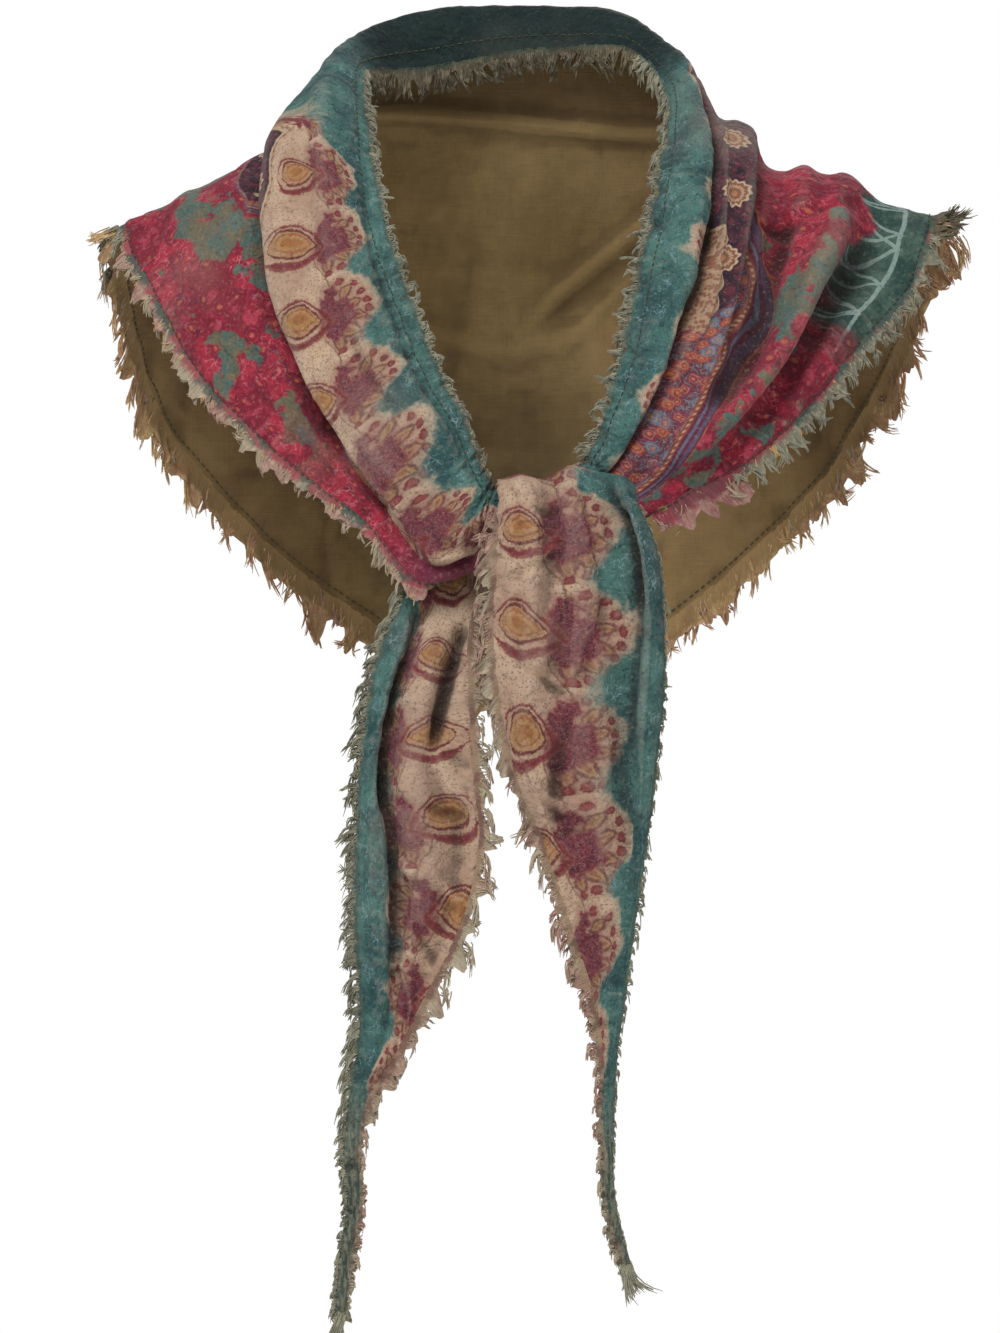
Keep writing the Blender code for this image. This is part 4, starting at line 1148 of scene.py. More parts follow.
def stripes(paint, along, deep):
    """Narrow stripes in orange, violet and steel blue, with a twisted line."""
    sway = paint.noise(paint.vector(along * 0.03, 0.0, 9.0), 1.0, 1.0) * 3.0
    at = deep + sway - 1.5
    ground = paint.mix(paint.step(at, 137.6, 138.6), rgb(142, 76, 62), rgb(106, 46, 66))
    ground = paint.mix(paint.step(abs(at - 141.4), 1.4, 0.7), ground, rgb(104, 106, 126))
    ground = paint.mix(paint.step(abs(at - 146.0), 1.8, 1.0), ground, rgb(98, 78, 104))
    twist = paint.math("SINE", along * 1.6 + at * 1.2)
    ground = paint.mix(paint.step(abs(at - 135.8), 1.3, 0.9) * paint.step(twist, -0.2, 0.4), ground,
                       rgb(186, 150, 122))
    return paint.mix(paint.step(abs(at - 149.0), 0.8, 0.4), ground, rgb(176, 104, 66))


def red_field(paint, along, deep, body, section):
    """Crimson with torn grey-green patches, rose bloom and small outlined flowers."""
    colours = scarf_print()
    cloud = paint.noise(body, 48.0, 3.0, 0.62)
    ground = paint.mix(paint.step(cloud, 0.40, 0.60), rgb(132, 32, 52), tuple(colours.crimson))
    rosy = paint.noise(body, 105.0, 3.0, 0.65)
    ground = paint.mix(paint.step(rosy, 0.55, 0.63) * 0.50, ground, rgb(196, 74, 96))
    ground = paint.mix(paint.step(rosy, 0.44, 0.36) * 0.55, ground, rgb(96, 32, 58))
    blooms = paint.cells(paint.vector(along, deep), 0.062, spread=0.7)
    away = Amount(paint, blooms.outputs["Distance"]) + (rosy - 0.5) * 0.22
    petal = paint.most(paint.step(abs(away - 0.30), 0.050, 0.025), paint.step(abs(away - 0.17), 0.035, 0.018))
    ground = paint.mix(petal * paint.step(cloud, 0.40, 0.50) * 0.6, ground, rgb(90, 34, 50))
    ground = paint.mix(paint.step(away, 0.09, 0.06) * 0.7, ground, rgb(188, 108, 70))
    torn = paint.noise(body, 25.0, 4.0, 0.62, 0.35)
    patch = paint.step(torn + (rosy - 0.5) * 0.05, 0.535, 0.570) * paint.step(section, 2.4, 3.4)
    mossy = paint.mix(paint.step(rosy, 0.42, 0.60), rgb(76, 108, 100), rgb(106, 106, 82))
    ground = paint.mix(patch * 0.92, ground, mossy)
    lines = paint.step(abs(paint.noise(body, 170.0, 1.0) - 0.5), 0.020, 0.008)
    lines = lines * paint.step(cloud, 0.50, 0.58) * (1 - patch)
    return paint.mix(lines * 0.5, ground, rgb(214, 128, 138))


def web_corner(paint, along, deep, body):
    """Bottle green crossed by pale veins in long triangles."""
    tone = paint.noise(body, 60.0, 3.0, 0.6)
    ground = paint.mix(paint.step(tone, 0.38, 0.62), rgb(44, 74, 68), rgb(76, 104, 92))
    sway = paint.noise(paint.vector(along * 0.05, deep * 0.05, 2.0), 1.0, 1.0) * 3.0 - 1.5
    at = deep + sway - 184.0
    zigzag = paint.math("PINGPONG", along + sway, 13.0) * 2.1
    slender = paint.math("PINGPONG", along * 0.6 + 5.0, 13.0) * 2.1
    veins = paint.least(abs(at - zigzag) * 0.43, abs(at - slender) * 0.60, abs(at - 27.5))
    return paint.mix(paint.step(veins, 1.1, 0.7) * 0.80, ground, rgb(150, 172, 166))


def printed_material():
    """All of the print, laid out by how deep into the border each place lies, with painted shade and
    highlights.
    """
    paint = Paint("printed_cotton", 0.9, 0.08)
    along, deep, _ = paint.parts(paint.uv("border"))
    section, column, _ = paint.parts(paint.uv("place"))
    body = paint.node("TexCoord").outputs["Object"]

    # How far the dyes have run and frayed, and the lobed shore between green and cream.
    bleed = paint.noise(paint.vector(along, deep), 0.038, 3.0, 0.6) * 34.0 - 17.0
    fray = paint.noise(paint.vector(along, deep), 0.30, 2.0, 0.6) * 7.0 - 3.5
    lobes = paint.math("COSINE", (along - 4.0 + bleed * 0.45) * (2 * math.pi / REPEAT)) * 8.5
    behind = paint.least(paint.step(section, 6.6, 8.6), paint.step(section, 16.8, 15.4))
    shore = deep + (bleed * 0.75 + lobes) * (1.0 - behind) - behind * 7.0 + fray

    colour = paisley_border(paint, along, deep, body)
    dyed = paint.noise(paint.vector(along, deep, 3.0), 0.12, 3.0, 0.6) * 9.0
    stain = paint.step(shore, GREEN_TO + 8.0, GREEN_TO - 2.0) * 0.6
    colour = paint.mix(stain, colour, rgb(126, 146, 130))
    colour = paint.mix(paint.step(shore + dyed - 4.5, GREEN_TO + 2.5, GREEN_TO - 2.5), colour,
                       green_ground(paint, along, deep, body, behind))
    colour = paint.mix(paint.step(deep + fray * 0.4, BORDER_TO - 1.5, BORDER_TO + 0.5), colour,
                       lace_band(paint, along, deep, body, section, column))
    inward = paint.step(section + fray * 0.03, 20.56, 20.66) * 27.0
    floral = paint.step(deep + fray * 0.5 + inward, FLOWERS_FROM - 0.6, FLOWERS_FROM + 0.6)
    colour = paint.mix(floral, colour, flower_row(paint, along, deep))
    colour = paint.mix(paint.step(deep, FLOWERS_TO - 0.4, FLOWERS_TO + 0.4), colour,
                       stripes(paint, along, deep))
    colour = paint.mix(paint.step(deep + fray * 0.3, STRIPES_TO - 1.5, STRIPES_TO - 0.5), colour,
                       red_field(paint, along, deep, body, section))

    # Bottle green at the right shoulder and at the point of the back, and the dark bunch at the knot.
    edge = (shore - deep) * 0.012
    corner = paint.least(paint.step(column + edge, 3.38, 3.50), paint.step(section + edge * 4.0, 15.6, 16.0),
                         paint.step(section + edge * 1.5, 19.3, 18.9))
    point = paint.least(paint.step(column + edge, 3.60, 3.70),
                        paint.step(abs(section - SPINE) + edge * 3.0, 1.7, 1.4))
    colour = paint.mix(paint.most(corner, point), colour, web_corner(paint, along, deep, body))
    bunch = paint.step(section, 1.9, 0.9) * paint.step(column, 2.5, 3.0)
    colour = paint.mix(bunch * 0.75, colour, rgb(92, 46, 66))

    # The tails' ends, felted to grey cord.
    fibres = paint.noise(paint.vector_math("MULTIPLY", body, (700.0, 700.0, 90.0)), 1.0, 2.0, 0.6)
    felt = paint.mix(paint.step(fibres, 0.38, 0.62), rgb(58, 66, 58), rgb(124, 120, 100))
    low = paint.step(paint.parts(body)[2], *FELTED)
    colour = paint.mix(low * 0.82, colour, felt)

    # Painted shade in the folds, painted highlight on their crests; wear on a broad scale and along the
    # fibres.
    fold, dell, _ = paint.parts(paint.uv("hollow"))
    # painted shade in the folds and broader hollows
    painted_shade = paint.step(fold, 0.10, 1.20) * 0.36 + paint.step(dell, 0.7, 6.0) * 0.52
    colour = paint.mix(painted_shade, colour, rgb(38, 27, 24))
    # painted highlight on the crests
    colour = paint.mix(paint.step(fold, -0.15, -0.90) * 0.12, colour, rgb(206, 190, 172))
    worn = paint.noise(body, 14.0, 2.0)
    # pale wear and speckle are held back on the painted shade behind the neck
    outside_back_shade = 1.0 - behind * 0.8
    colour = paint.mix(paint.step(worn, 0.50, 0.72) * outside_back_shade * 0.16, colour, rgb(196, 180, 162))
    speckle = paint.noise(body, 560.0, 2.0, 0.7)
    colour = paint.mix(paint.step(speckle, 0.55, 0.72) * outside_back_shade * 0.16, colour, rgb(206, 192, 176))
    colour = paint.mix(paint.step(speckle, 0.46, 0.30) * 0.36, colour, rgb(40, 32, 34))
    paint.colour(colour)
    crinkle = paint.noise(body, 260.0, 3.0, 0.65)
    creased = abs(paint.noise(body, 110.0, 2.0, 0.6, 0.4) - 0.5) * 2.0
    paint.bump(crinkle * 0.5 + creased, 0.0019, 1.0)
    paint.rough(crinkle * 0.14 + 0.82)
    return paint.material


def linen_material(name, dark, light):
    """Dyed plain weave: faint slubs that run both ways over a mottled ground; painted shade to the sides, at
    the top, low in the middle and in folds, painted highlight on crests.
    """
    paint = Paint(name, 0.94, 0.06)
    body = paint.node("TexCoord").outputs["Object"]
    across = paint.vector_math("MULTIPLY", body, (60.0, 60.0, 1300.0))
    down = paint.vector_math("MULTIPLY", body, (1300.0, 500.0, 50.0))
    weft, warp = paint.noise(across, 1.0, 2.0, 0.6), paint.noise(down, 1.0, 2.0, 0.6)
    cloud = paint.noise(body, 11.0, 3.0, 0.55)
    mottle = paint.noise(body, 150.0, 3.0, 0.7)
    share = cloud * 1.5 + weft * 0.22 + warp * 0.16 + mottle * 0.30 - 0.60
    colour = paint.mix(paint.step(share, 0.15, 0.85), dark, light)
    x, _, z = paint.parts(body)
    side = abs(x + 0.005)
    # painted shade towards the sides
    colour = paint.mix(paint.step(side, 0.035, 0.115) * 0.30, colour, rgb(104, 74, 50))
    # painted shade above the step by the neck
    colour = paint.mix(paint.step(z + x * 0.05, 0.0065, 0.0125) * 0.42, colour, rgb(70, 50, 34))
    # painted shade low in the middle
    shade = paint.least(paint.step(z, -0.085, -0.15), paint.step(side, 0.070, 0.035))
    colour = paint.mix(shade * 0.42, colour, rgb(50, 42, 28))
    fold, dell, _ = paint.parts(paint.uv("hollow"))
    # painted shade in the folds
    painted_shade = paint.step(fold, 0.02, 0.60) * 0.30 + paint.step(dell, 0.9, 5.0) * 0.22
    colour = paint.mix(painted_shade, colour, rgb(56, 42, 28))
    # painted highlight on the fold crests
    colour = paint.mix(paint.step(fold, -0.05, -0.50) * 0.20, colour, light)
    paint.colour(colour)
    paint.bump(weft + warp + mottle * 0.8, 0.0005, 0.8)
    return paint.material


def thread_material(name, shades):
    """Loose threads in patches of slightly different colours along the edge."""
    paint = Paint(name, 0.9, 0.15)
    body = paint.node("TexCoord").outputs["Object"]
    broad, fine = paint.noise(body, 26.0, 2.0), paint.noise(body, 330.0, 1.0)
    colour = paint.mix(paint.step(broad, 0.40, 0.60), shades[0], shades[1])
    colour = paint.mix(paint.step(fine, 0.45, 0.65) * 0.7, colour, shades[2])
    paint.colour(colour)
    return paint.material


def torn_material(name, shades, tint, stain, whole):
    """The torn strip past the stitches: threads, with the cloth's own colour left near the seam and
    whole cloth for the first millimetres."""
    paint = Paint(name, 0.92, 0.12)
    body = paint.node("TexCoord").outputs["Object"]
    along, out, _ = paint.parts(paint.uv("edge"))
    broad, fine = paint.noise(body, 30.0, 2.0), paint.noise(body, 300.0, 2.0, 0.7)
    colour = paint.mix(paint.step(broad, 0.40, 0.60), shades[0], shades[1])
    colour = paint.mix(paint.step(fine, 0.45, 0.65) * 0.6, colour, shades[2])
    # painted shade in the gaps between the threads, combed along the edge
    comb = paint.noise(paint.vector(along * 1.3, out * 0.16, 0.0), 1.0, 2.0, 0.6)
    colour = paint.mix(paint.step(comb, 0.52, 0.36) * 0.40, colour, shades[3])
    tints = paint.noise(body, 55.0, 2.0)
    left = paint.step(out + fine * 5.0 - 2.5, whole + 3.0, whole)
    colour = paint.mix(left * 0.85, colour, paint.mix(paint.step(tints, 0.44, 0.54), tint, stain))
    low = paint.step(paint.parts(body)[2], *FELTED)
    felt = paint.mix(paint.step(fine, 0.40, 0.60), rgb(74, 76, 64), GREY_GREEN[0])
    colour = paint.mix(low * 0.7, colour, felt)
    paint.colour(colour)
    paint.bump(comb + fine * 0.5, 0.0012, 0.9)
    return paint.material


# Threads: their two broad colours, the colour of single threads and the painted shade in the gaps between
# them.
PALE = (rgb(182, 170, 144), rgb(178, 138, 124), rgb(202, 182, 154), rgb(104, 80, 70))
ROSE = (rgb(176, 130, 120), rgb(164, 104, 104), rgb(194, 160, 142), rgb(104, 62, 62))
GREY_GREEN = (rgb(152, 150, 128), rgb(124, 122, 104), rgb(180, 174, 150), rgb(74, 74, 64))
BROWN = (rgb(202, 166, 116), rgb(196, 152, 118), rgb(226, 196, 146), rgb(124, 98, 66))
OLIVE = (rgb(112, 100, 78), rgb(84, 76, 58), rgb(140, 130, 104), rgb(46, 42, 34))

MATERIALS = {
    "printed": printed_material,
    "lining": lambda: linen_material("lining_linen", rgb(116, 95, 58), rgb(160, 134, 90)),
    "pale_threads": lambda: thread_material("pale_threads", PALE),
    "grey_threads": lambda: thread_material("grey_threads", GREY_GREEN),
    "rose_threads": lambda: thread_material("rose_threads", (PALE[0], ROSE[0], PALE[2])),
    "brown_threads": lambda: thread_material("brown_threads", BROWN),
    "olive_threads": lambda: thread_material("olive_threads", OLIVE),
    "torn_print": lambda: torn_material("torn_print", (PALE[0], ROSE[0], PALE[2], PALE[3]), rgb(164, 66, 80),
                                               rgb(58, 84, 78), 2.0),
    "torn_rose": lambda: torn_material("torn_rose", ROSE, rgb(158, 62, 76), rgb(126, 60, 72), 5.0),
    "torn_grey": lambda: torn_material("torn_grey", GREY_GREEN, rgb(150, 74, 80), rgb(58, 84, 78), 1.0),
    "torn_green": lambda: torn_material("torn_green", GREY_GREEN, rgb(70, 104, 96), rgb(58, 84, 78), 0.8),
    "torn_olive": lambda: torn_material("torn_olive", OLIVE, rgb(70, 80, 66), rgb(46, 58, 50), 0.8),
    "torn_cream": lambda: torn_material("torn_cream", PALE, rgb(164, 136, 110), rgb(124, 88, 76), 2.0),
    "torn_lining": lambda: torn_material("torn_lining", BROWN, rgb(144, 116, 74), rgb(160, 130, 84), 7.0),
    "stitch": lambda: thread_material("stitch_thread", (rgb(52, 62, 54), rgb(70, 66, 46), rgb(92, 90, 66))),
}
READY = {}


def material(name):
    if name not in READY:
        READY[name] = MATERIALS[name]()
    return READY[name]


# ---------------------------------------------------------------------------------------------------
# Settings
# ---------------------------------------------------------------------------------------------------


class ScarfCloth(bpy.types.PropertyGroup):
    ply_gap: bpy.props.FloatProperty(
        name="Ply gap", description="From the printed face to the lining's face",
        default=0.0021, unit="LENGTH")
    neck_seam: bpy.props.FloatProperty(
        name="Neck seam", description="From the raw neck edge to its row of stitches",
        default=0.006, unit="LENGTH")
    pucker: bpy.props.FloatProperty(
        name="Pucker", description="Depth of the puckers along the stitches", default=0.0018, unit="LENGTH")
    crumple: bpy.props.FloatProperty(
        name="Crumple", description="Depth of the soft wrinkles all over", default=0.0009, unit="LENGTH")


class ScarfPrint(bpy.types.PropertyGroup):
    green: bpy.props.FloatVectorProperty(
        name="Green", description="The strip along the neck edge", subtype="COLOR", size=4,
        default=rgb(80, 122, 114), min=0, max=1)
    cream: bpy.props.FloatVectorProperty(
        name="Cream", description="The ground of the paisley border", subtype="COLOR", size=4,
        default=rgb(206, 176, 150), min=0, max=1)
    crimson: bpy.props.FloatVectorProperty(
        name="Crimson", description="The field inside the borders", subtype="COLOR", size=4,
        default=rgb(172, 44, 66), min=0, max=1)


class ScarfFringe(bpy.types.PropertyGroup):
    thread: bpy.props.FloatProperty(
        name="Thread", description="Thickness of a loose thread", default=0.00065, unit="LENGTH")
    density: bpy.props.FloatProperty(
        name="Density", description="Share of the locks of loose threads that are made", default=1.0)
    seed: bpy.props.IntProperty(name="Seed", description="Changes every loose thread", default=21)


class ScarfStage(bpy.types.PropertyGroup):
    distance: bpy.props.FloatProperty(
        name="Distance", description="From the camera to the neck's axis", default=6.0, unit="LENGTH")
    height: bpy.props.FloatProperty(
        name="Height", description="Height of the picture at the neck's axis", default=0.64, unit="LENGTH")
    gap: bpy.props.FloatProperty(
        name="Floor gap", description="From the tails' tips down to the floor", default=0.16, unit="LENGTH")
    key: bpy.props.FloatProperty(name="Key", description="Power of the large soft light", default=50.0)
    sky: bpy.props.FloatProperty(name="Sky", description="Strength of the light from all round", default=0.30)


def scarf_cloth():
    return bpy.context.scene.scarf_cloth


def scarf_print():
    return bpy.context.scene.scarf_print


# ---------------------------------------------------------------------------------------------------
# Pieces
# ---------------------------------------------------------------------------------------------------

CLOTHS = {}
RIGHT_LEFT_STEPS, BACK_STEPS, BAND_STEPS, PANEL_STEPS = 190, 210, 48, 104
LINING_STEPS = (120, 170, 36, 84)
TAIL_STEPS = {"tail_right": (250, 84), "tail_left": (250, 78)}
PRINT_NODES = ("band_left", "band_back", "band_right", "front_left", "front_right", "back_panel")


def wound_steps(front, back, band, panel):
    """Where the wound stretch is sampled: along it, finer at the fronts, and across it."""
    along = np.concatenate([
        np.linspace(0, LEFT_SHOULDER, front + 1),
        np.linspace(LEFT_SHOULDER, RIGHT_SHOULDER, back + 1)[1:],
        np.linspace(RIGHT_SHOULDER, LAST_SECTION, front + 1)[1:],
    ])
    across = np.concatenate([np.linspace(EDGE, TUCK, band + 1), np.linspace(TUCK, SEAM, panel + 1)[1:]])
    return along, across


def cloth_maps(cloth, along, across, points, out):
    """The UV maps that the print reads: millimetres along and into the border, the place, and how
    deep in a hollow it lies."""
    place = np.stack(np.meshgrid(along, across, indexing="ij"), axis=-1)
    # the hollow map sets where the materials paint shade in folds and highlight on crests
    hollow = hollows(points, out)
    if cloth.name != "wound":
        place = place * 0.0
        # lighter painted shade past the middle of a tail
        hollow[:, :, 1] *= np.where(across > 2.9, 0.75, 1.0)
    if cloth.name == "tail_right":
        # extra painted shade on the right tail's turned strip, given as hollow depth
        hollow[:, :, 1] += np.clip((across - 4.35) / 0.3, 0, 1) * 2.4
    return {"border": cloth.print_place(along, across), "place": place, "hollow": hollow}


class SCARF_OT_printed_cloth(bpy.types.Operator):
    """Make the printed ply of the wound stretch"""

    bl_idname = "scarf.printed_cloth"
    bl_label = "Printed cloth"

    def execute(self, context):
        cloth = CLOTHS["wound"]
        along, across = wound_steps(RIGHT_LEFT_STEPS, BACK_STEPS, BAND_STEPS, PANEL_STEPS)
        points, out = cloth.face(along, across, "print")
        maps = cloth_maps(cloth, along, across, points, out)
        piece = cloth_mesh("printed_cloth", points, maps, material("printed"))
        finish_piece(piece, "printed_cloth", *PRINT_NODES)
        return {"FINISHED"}


class SCARF_OT_lining(bpy.types.Operator):
    """Make the lining of the wound stretch, facing inwards"""

    bl_idname = "scarf.lining"
    bl_label = "Lining"

    def execute(self, context):
        cloth = CLOTHS["wound"]
        along, across = wound_steps(*LINING_STEPS)
        points, out = cloth.face(along, across, "lining")
        maps = {"hollow": hollows(points, -out)}
        points = points[::-1]
        maps = {name: values[::-1] for name, values in maps.items()}
        piece = cloth_mesh("lining_cloth", points, maps, material("lining"))
        finish_piece(piece, "lining_cloth", "lining_back", "lining_band_back")
        return {"FINISHED"}


class SCARF_OT_tails(bpy.types.Operator):
    """Make the two tails, printed outside and lined inside"""

    bl_idname = "scarf.tails"
    bl_label = "Tails"

    def execute(self, context):
        for name, (rows, columns) in TAIL_STEPS.items():
            cloth = CLOTHS[name]
            along = np.linspace(0, cloth.last_section, rows + 1)
            across = np.linspace(0, cloth.last_column, columns + 1)
            points, out = cloth.face(along, across, "print")
            maps = cloth_maps(cloth, along, across, points, out)
            piece = cloth_mesh(f"{name}_cloth", points, maps, material("printed"))
            piece.data.materials.append(material("lining"))
            shell = piece.modifiers.new("plies", "SOLIDIFY")
            shell.thickness = scarf_cloth().ply_gap
            shell.offset = -1.0
            shell.material_offset = 1
            bpy.ops.object.modifier_apply(modifier=shell.name)
            finish_piece(piece, "printed_cloth", name)
        return {"FINISHED"}


class Tabs:
    """Torn tabs along a raw edge: where each starts, how far it reaches, leans and curls."""

    def __init__(self, name, length):
        edge = EDGES[name]
        rng = np.random.default_rng(sum(map(ord, name)))
        marks = [0.0]
        while marks[-1] < length:
            marks.append(marks[-1] + edge.width * rng.uniform(0.6, 1.4))
        self.marks, self.low, self.rounded = np.array(marks), edge.notch, edge.rounded
        count = len(marks) - 1
        self.centre = (self.marks[1:] + self.marks[:-1]) / 2
        self.half = np.diff(self.marks) / 2
        self.height = np.maximum(edge.tab * rng.uniform(0.3, 1.25, count), self.low)
        self.lean, self.curl = rng.uniform(-0.35, 0.35, count), rng.uniform(-1, 1, count)
        self.peak = rng.uniform(-0.35, 0.35, count)
        self.whole = length
        self.slender = 0.36 if edge.side in ("left", "right") else 1.0

    def at(self, places):
        """The tab at each place, and how far across it the place lies, from -1 to 1."""
        tab = np.clip(np.searchsorted(self.marks, places, side="right") - 1, 0, len(self.centre) - 1)
        return tab, np.clip((places - self.centre[tab]) / self.half[tab], -1, 1)

    def share(self, places):
        """How much of its full size the fringe has at each place: a tail's dwindles to its tip."""
        return np.interp(places, (self.whole * 0.55, self.whole * 0.85), (1.0, self.slender))

    def reach(self, places):
        """How far the torn strip reaches at each place."""
        tab, off = self.at(places)
        peak = self.peak[tab]
        side = np.where(off < peak, (off - peak) / (1 + peak), (off - peak) / (1 - peak))
        bend = 2.0 if self.rounded < 0.7 else 1.0
        shape = (1 - np.abs(side) ** bend) ** self.rounded
        return (self.low + (self.height[tab] - self.low) * shape) * self.share(places)


def rim_and_tabs(name):
    """The rim and the torn tabs of one raw edge."""
    rim = Rim(EDGES[name])
    return rim, Tabs(name, rim.length[-1])


STRIP_STEPS = np.linspace(0, 1, 7)


class SCARF_OT_torn_edges(bpy.types.Operator):
    """Make the torn strips past the stitches, in ragged tabs"""

    bl_idname = "scarf.torn_edges"
    bl_label = "Torn edges"

    def execute(self, context):
        for name, edge in EDGES.items():
            if edge.side != "end":
                self.strip(name, edge)
        return {"FINISHED"}

    def strip(self, name, edge):
        rim, tabs = rim_and_tabs(name)
        tab, off = tabs.at(rim.length)
        seed = sum(map(ord, name)) % 50
        height = tabs.reach(rim.length) + ragged((rim.length / 1.2)[:, None], seed) * 0.7
        height = np.maximum(height, OVERLAP)
        side = 1.0 if edge.ply == "print" else -1.0
        comb = ragged((rim.length / 0.9)[:, None], seed + 1) * 0.35
        rows = []
        for share in STRIP_STEPS:
            bend = share * share * height
            far = (share * (height + OVERLAP) - OVERLAP) * (1 - 0.4 * edge.hang * share)
            up = side * 0.10 * bend + tabs.curl[tab] * 0.30 * bend + off**2 * 0.22 * bend * side
            up = up + comb * min(share * 3, 1.0)
            along = (tabs.lean[tab] - off * 0.16) * bend
            rows.append(rim.points + rim.out * far[:, None] + rim.up * up[:, None]
                        + rim.way * along[:, None] - np.array((0.0, 0.0, edge.hang)) * bend[:, None])
        points = np.stack(rows, axis=1)
        far = STRIP_STEPS[None] * height[:, None]
        edge_map = np.stack(np.broadcast_arrays(rim.length[:, None], far), axis=-1)
        if (edge.side in ("neck", "left")) != (edge.ply == "lining"):
            points, edge_map = points[::-1], edge_map[::-1]
        piece = cloth_mesh("torn_" + name, points, {"edge": edge_map}, material(edge.torn))
        finish_piece(piece, "lining_cloth" if edge.ply == "lining" else "printed_cloth")


class SCARF_OT_threads(bpy.types.Operator):
    """Make the loose threads of every raw edge"""

    bl_idname = "scarf.threads"
    bl_label = "Threads"

    def execute(self, context):
        settings = context.scene.scarf_fringe
        for index, (name, edge) in enumerate(EDGES.items()):
            rng = np.random.default_rng(settings.seed + index)
            lines = self.locks(*rim_and_tabs(name), edge, edge.locks * settings.density, rng)
            piece = tubes("threads_" + name, lines, settings.thread / 2, material(edge.threads))
            slot = "lining_threads" if edge.ply == "lining" else "pale_threads"
            finish_piece(piece, slot, *edge.solids)
        return {"FINISHED"}

    def locks(self, rim, tabs, edge, locks, rng):
        """Locks of threads that leave a tab side by side and curl to one point. They start in the
        torn strip, and at the end of a tail inside its cloth."""
        lines = []
        steps = np.array((0.0, 0.34, 0.62, 0.84, 1.0))[:, None]
        taper = (1.0, 1.0, 0.95, 0.8, 0.4)
        ease = steps * steps
        inside = ROOTED if edge.side == "end" else 0.0
        for tab, centre in enumerate(tabs.centre):
            if centre > rim.length[-1]:
                break
            points, out, up, way = (
                np.array([np.interp(centre, rim.length, values[:, axis]) for axis in range(3)])
                for values in (rim.points, rim.out, rim.up, rim.way)
            )
            for _ in range(int(locks + rng.random())):
                root = rng.uniform(-0.85, 0.85)
                tip = (root - tabs.peak[tab]) * 0.55 + tabs.peak[tab]
                size = edge.long * rng.uniform(0.45, 1.25) * float(tabs.share(centre))
                start = float(tabs.reach(np.array([centre + root * tabs.half[tab]]))[0])
                hook, roll = rng.normal(0, 0.42), rng.normal(0, 0.34)
                swing, lift = rng.normal(0, 0.22), rng.normal(0, 0.22) + tabs.curl[tab] * 0.2
                for _ in range(rng.integers(4, 8)):
                    stray = 1.0 if rng.random() < 0.10 else 0.0
                    at = root * tabs.half[tab] + rng.normal(0, 0.9)
                    to = tip * tabs.half[tab] + rng.normal(0, 0.35) + stray * rng.normal(0, 2.4)
                    begin = start * rng.uniform(0.25, 0.85) - inside * rng.uniform(0.4, 1.0)
                    end = start + size * rng.uniform(0.65, 1.1)
                    side = at + (to - at) * steps + tabs.lean[tab] * start * ease
                    side = side + size * (swing * steps + (hook + stray * 0.3) * steps**3)
                    far = begin + (end - begin) * (steps - 0.30 * abs(hook) * steps**3)
                    high = rng.normal(0, 0.4) + size * (lift * steps + roll * steps**3)
                    high = high + np.sin(steps * 7 + rng.uniform(0, 6)) * 0.35 * steps
                    drop = edge.hang * size * ease * (1.0 + 0.5 * steps)
                    line = points + way * side + out * (far * (1 - edge.hang * 0.55 * steps)) + up * high
                    line = line - np.array((0.0, 0.0, 1.0)) * drop
                    lines.append((line, taper))
        return lines


class SCARF_OT_stitches(bpy.types.Operator):
    """Make the rows of stitches along the hem and the neck edge"""

    bl_idname = "scarf.stitches"
    bl_label = "Stitches"

    def execute(self, context):
        cloth = CLOTHS["wound"]
        lines = []
        for row, ply, start, end in (
            ("hem", "print", 0.6, 23.4), ("hem", "lining", 0.6, 23.4), ("neck", "print", 0.5, 23.5),
        ):
            lines += self.row(cloth, row, ply, start, end)
        piece = tubes("stitches", lines, 0.00034, material("stitch"))
        finish_piece(piece, "pale_threads")
        return {"FINISHED"}

    def row(self, cloth, row, ply, start, end):
        """Stitches 2.6 mm long, 1 mm apart, along a row of places a fixed way in from the edge."""
        column = SEAM - 0.03 if row == "hem" else 0.24
        along = even_places(cloth, start, end, 3.6, column)
        lines = []
        side = 1.0 if ply == "print" else -1.0
        for k in range(len(along) - 1):
            places = along[k] + (along[k + 1] - along[k]) * np.array((0.0, 0.16, 0.56, 0.72))
            points, out = cloth.face(places, [column], ply)
            height = np.array((-0.5, 0.35, 0.35, -0.5))[:, None] * side
            lines.append((points[:, 0] + out[:, 0] * height, (0.8, 1.0, 1.0, 0.8)))
        return lines


class SCARF_OT_declare(bpy.types.Operator):
    """Sort the torn strips and loose threads by the sheet of cloth they belong to; the sorting is not used"""

    bl_idname = "scarf.declare"
    bl_label = "Declare sheets"

    def execute(self, context):
        torn = [o for o in bpy.data.objects if o.name.startswith("torn_")]
        threads = [o for o in bpy.data.objects if o.name.startswith("threads_")]
        trims = {name: [] for name in ("printed_cloth", "lining_cloth", "tail_left", "tail_right")}
        for trim in torn + threads:
            edge = EDGES[trim.name.split("_", 1)[1]]
            sheet = "printed_cloth" if edge.cloth == "wound" else edge.cloth
            trims["lining_cloth" if edge.ply == "lining" else sheet].append(trim)
        return {"FINISHED"}


PICTURE_CENTRE = (-0.0072, 0.0, -0.2575)


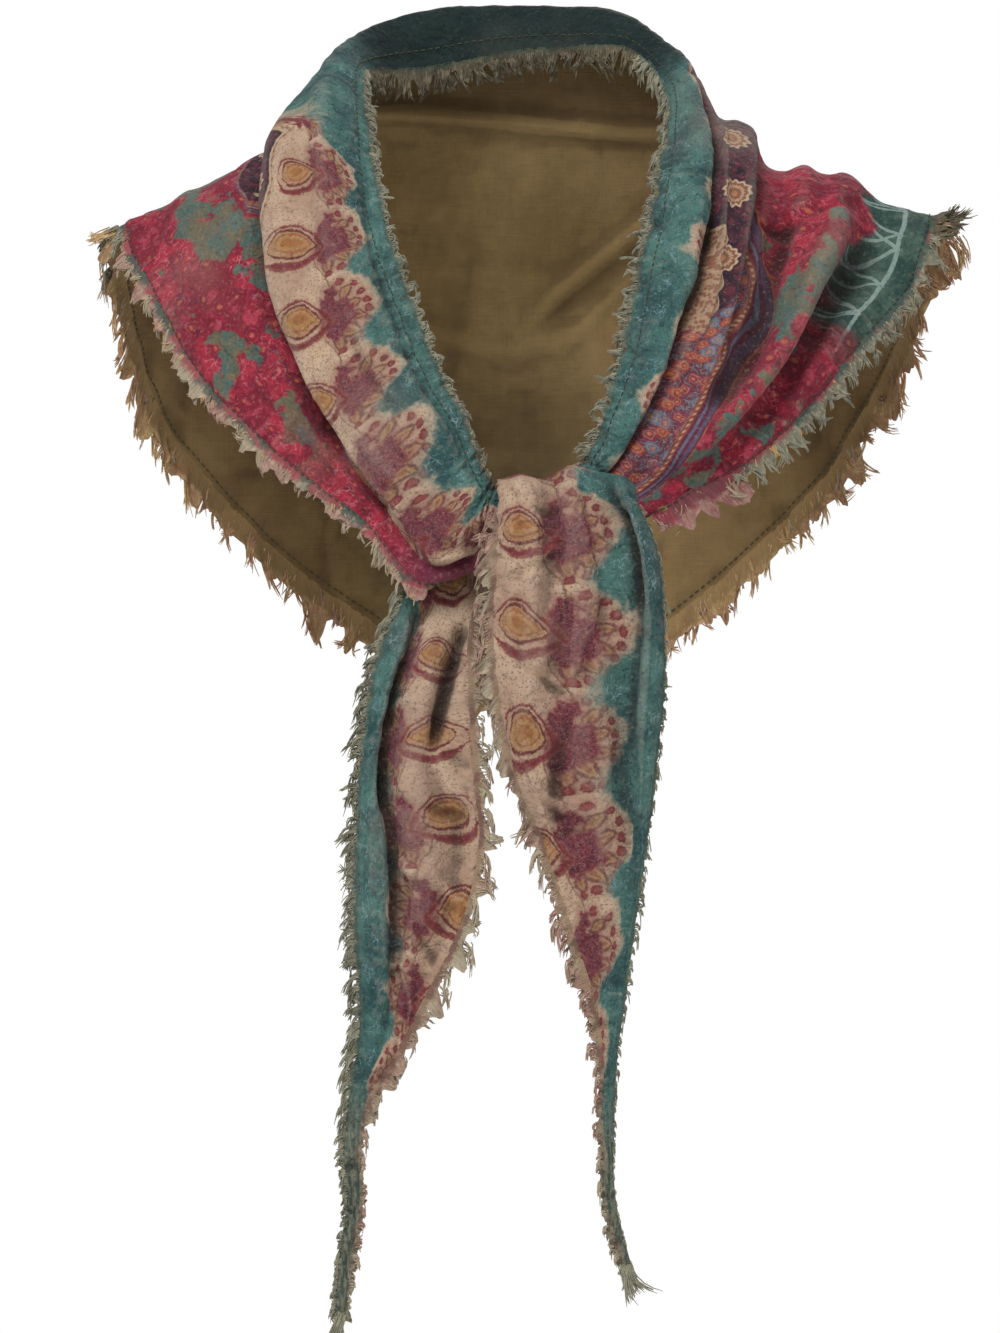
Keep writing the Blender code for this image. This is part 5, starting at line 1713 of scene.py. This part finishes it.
class SCARF_OT_stage(bpy.types.Operator):
    """Make the pale floor, the soft lights and the camera"""

    bl_idname = "scarf.stage"
    bl_label = "Stage"

    def execute(self, context):
        settings = context.scene.scarf_stage
        deselect()
        low = CAD_BOX[0].z - settings.gap
        bpy.ops.mesh.primitive_circle_add(vertices=96, radius=2.6, fill_type="NGON", location=(0, 0, 0))
        floor = context.object
        floor.name = "floor"
        floor.data.transform(Matrix.Translation((0, 0, low)))
        paint = Paint("pale_floor", 0.9, 0.0)
        paint.shader.inputs["Base Color"].default_value = (0.88, 0.88, 0.88, 1.0)
        floor.data.materials.append(paint.material)

        world = bpy.data.worlds.new("studio")
        context.scene.world = world
        world.use_nodes = True
        background = world.node_tree.nodes["Background"]
        background.inputs["Color"].default_value = (1.0, 1.0, 1.0, 1.0)
        seen = world.node_tree.nodes.new("ShaderNodeLightPath").outputs["Is Camera Ray"]
        strength = world.node_tree.nodes.new("ShaderNodeMapRange")
        strength.inputs["To Min"].default_value = settings.sky
        strength.inputs["To Max"].default_value = 1.0
        world.node_tree.links.new(seen, strength.inputs["Value"])
        world.node_tree.links.new(strength.outputs["Result"], background.inputs["Strength"])

        middle = Vector(PICTURE_CENTRE)
        for name, place, size, power in (
            ("key", (-0.8, -1.9, 1.9), 1.3, settings.key),
            ("fill", (2.0, -2.2, 0.5), 2.0, settings.key * 0.18),
            ("back_light", (0.4, 2.4, 1.5), 1.6, settings.key * 0.6),
        ):
            light = bpy.data.lights.new(name, "AREA")
            light.size, light.energy = size, power
            lamp = bpy.data.objects.new(name, light)
            context.scene.collection.objects.link(lamp)
            lamp.location = place
            lamp.rotation_euler = (middle - Vector(place)).to_track_quat("-Z", "Y").to_euler()

        camera = bpy.data.objects.new("camera", bpy.data.cameras.new("camera"))
        context.scene.collection.objects.link(camera)
        camera.location = middle - Vector((0, settings.distance, 0))
        camera.rotation_euler = (math.pi / 2, 0, 0)
        camera.data.lens = camera.data.sensor_width * settings.distance / settings.height
        camera.data.clip_end = 100
        context.scene.camera = camera
        context.scene.view_settings.view_transform = "Standard"
        return {"FINISHED"}


STEPS = (
    SCARF_OT_stage, SCARF_OT_printed_cloth, SCARF_OT_lining, SCARF_OT_tails, SCARF_OT_torn_edges,
    SCARF_OT_threads, SCARF_OT_stitches, SCARF_OT_declare,
)


class SCARF_PT_panel(bpy.types.Panel):
    """The scarf's pieces, in the order in which they are made"""

    bl_label = "Triangle scarf"
    bl_idname = "SCARF_PT_panel"
    bl_space_type = "VIEW_3D"
    bl_region_type = "UI"
    bl_category = "Scarf"

    def draw(self, context):
        for group in ("scarf_cloth", "scarf_print", "scarf_fringe", "scarf_stage"):
            settings = getattr(context.scene, group)
            box = self.layout.box()
            for name in settings.__annotations__:
                box.prop(settings, name)
        for step in STEPS:
            self.layout.operator(step.bl_idname)


GROUPS = {
    "scarf_cloth": ScarfCloth, "scarf_print": ScarfPrint, "scarf_fringe": ScarfFringe,
    "scarf_stage": ScarfStage,
}


def register():
    for name, group in GROUPS.items():
        bpy.utils.register_class(group)
        setattr(bpy.types.Scene, name, bpy.props.PointerProperty(type=group))
    for made in (*STEPS, SCARF_PT_panel):
        bpy.utils.register_class(made)


def unregister():
    for made in (SCARF_PT_panel, *reversed(STEPS)):
        bpy.utils.unregister_class(made)
    for name, group in GROUPS.items():
        delattr(bpy.types.Scene, name)
        bpy.utils.unregister_class(group)


def main():
    register()
    CLOTHS.update(make_cloths())
    for step in STEPS:
        group, name = step.bl_idname.split(".")
        getattr(getattr(bpy.ops, group), name)()


if __name__ == "__main__":
    main()
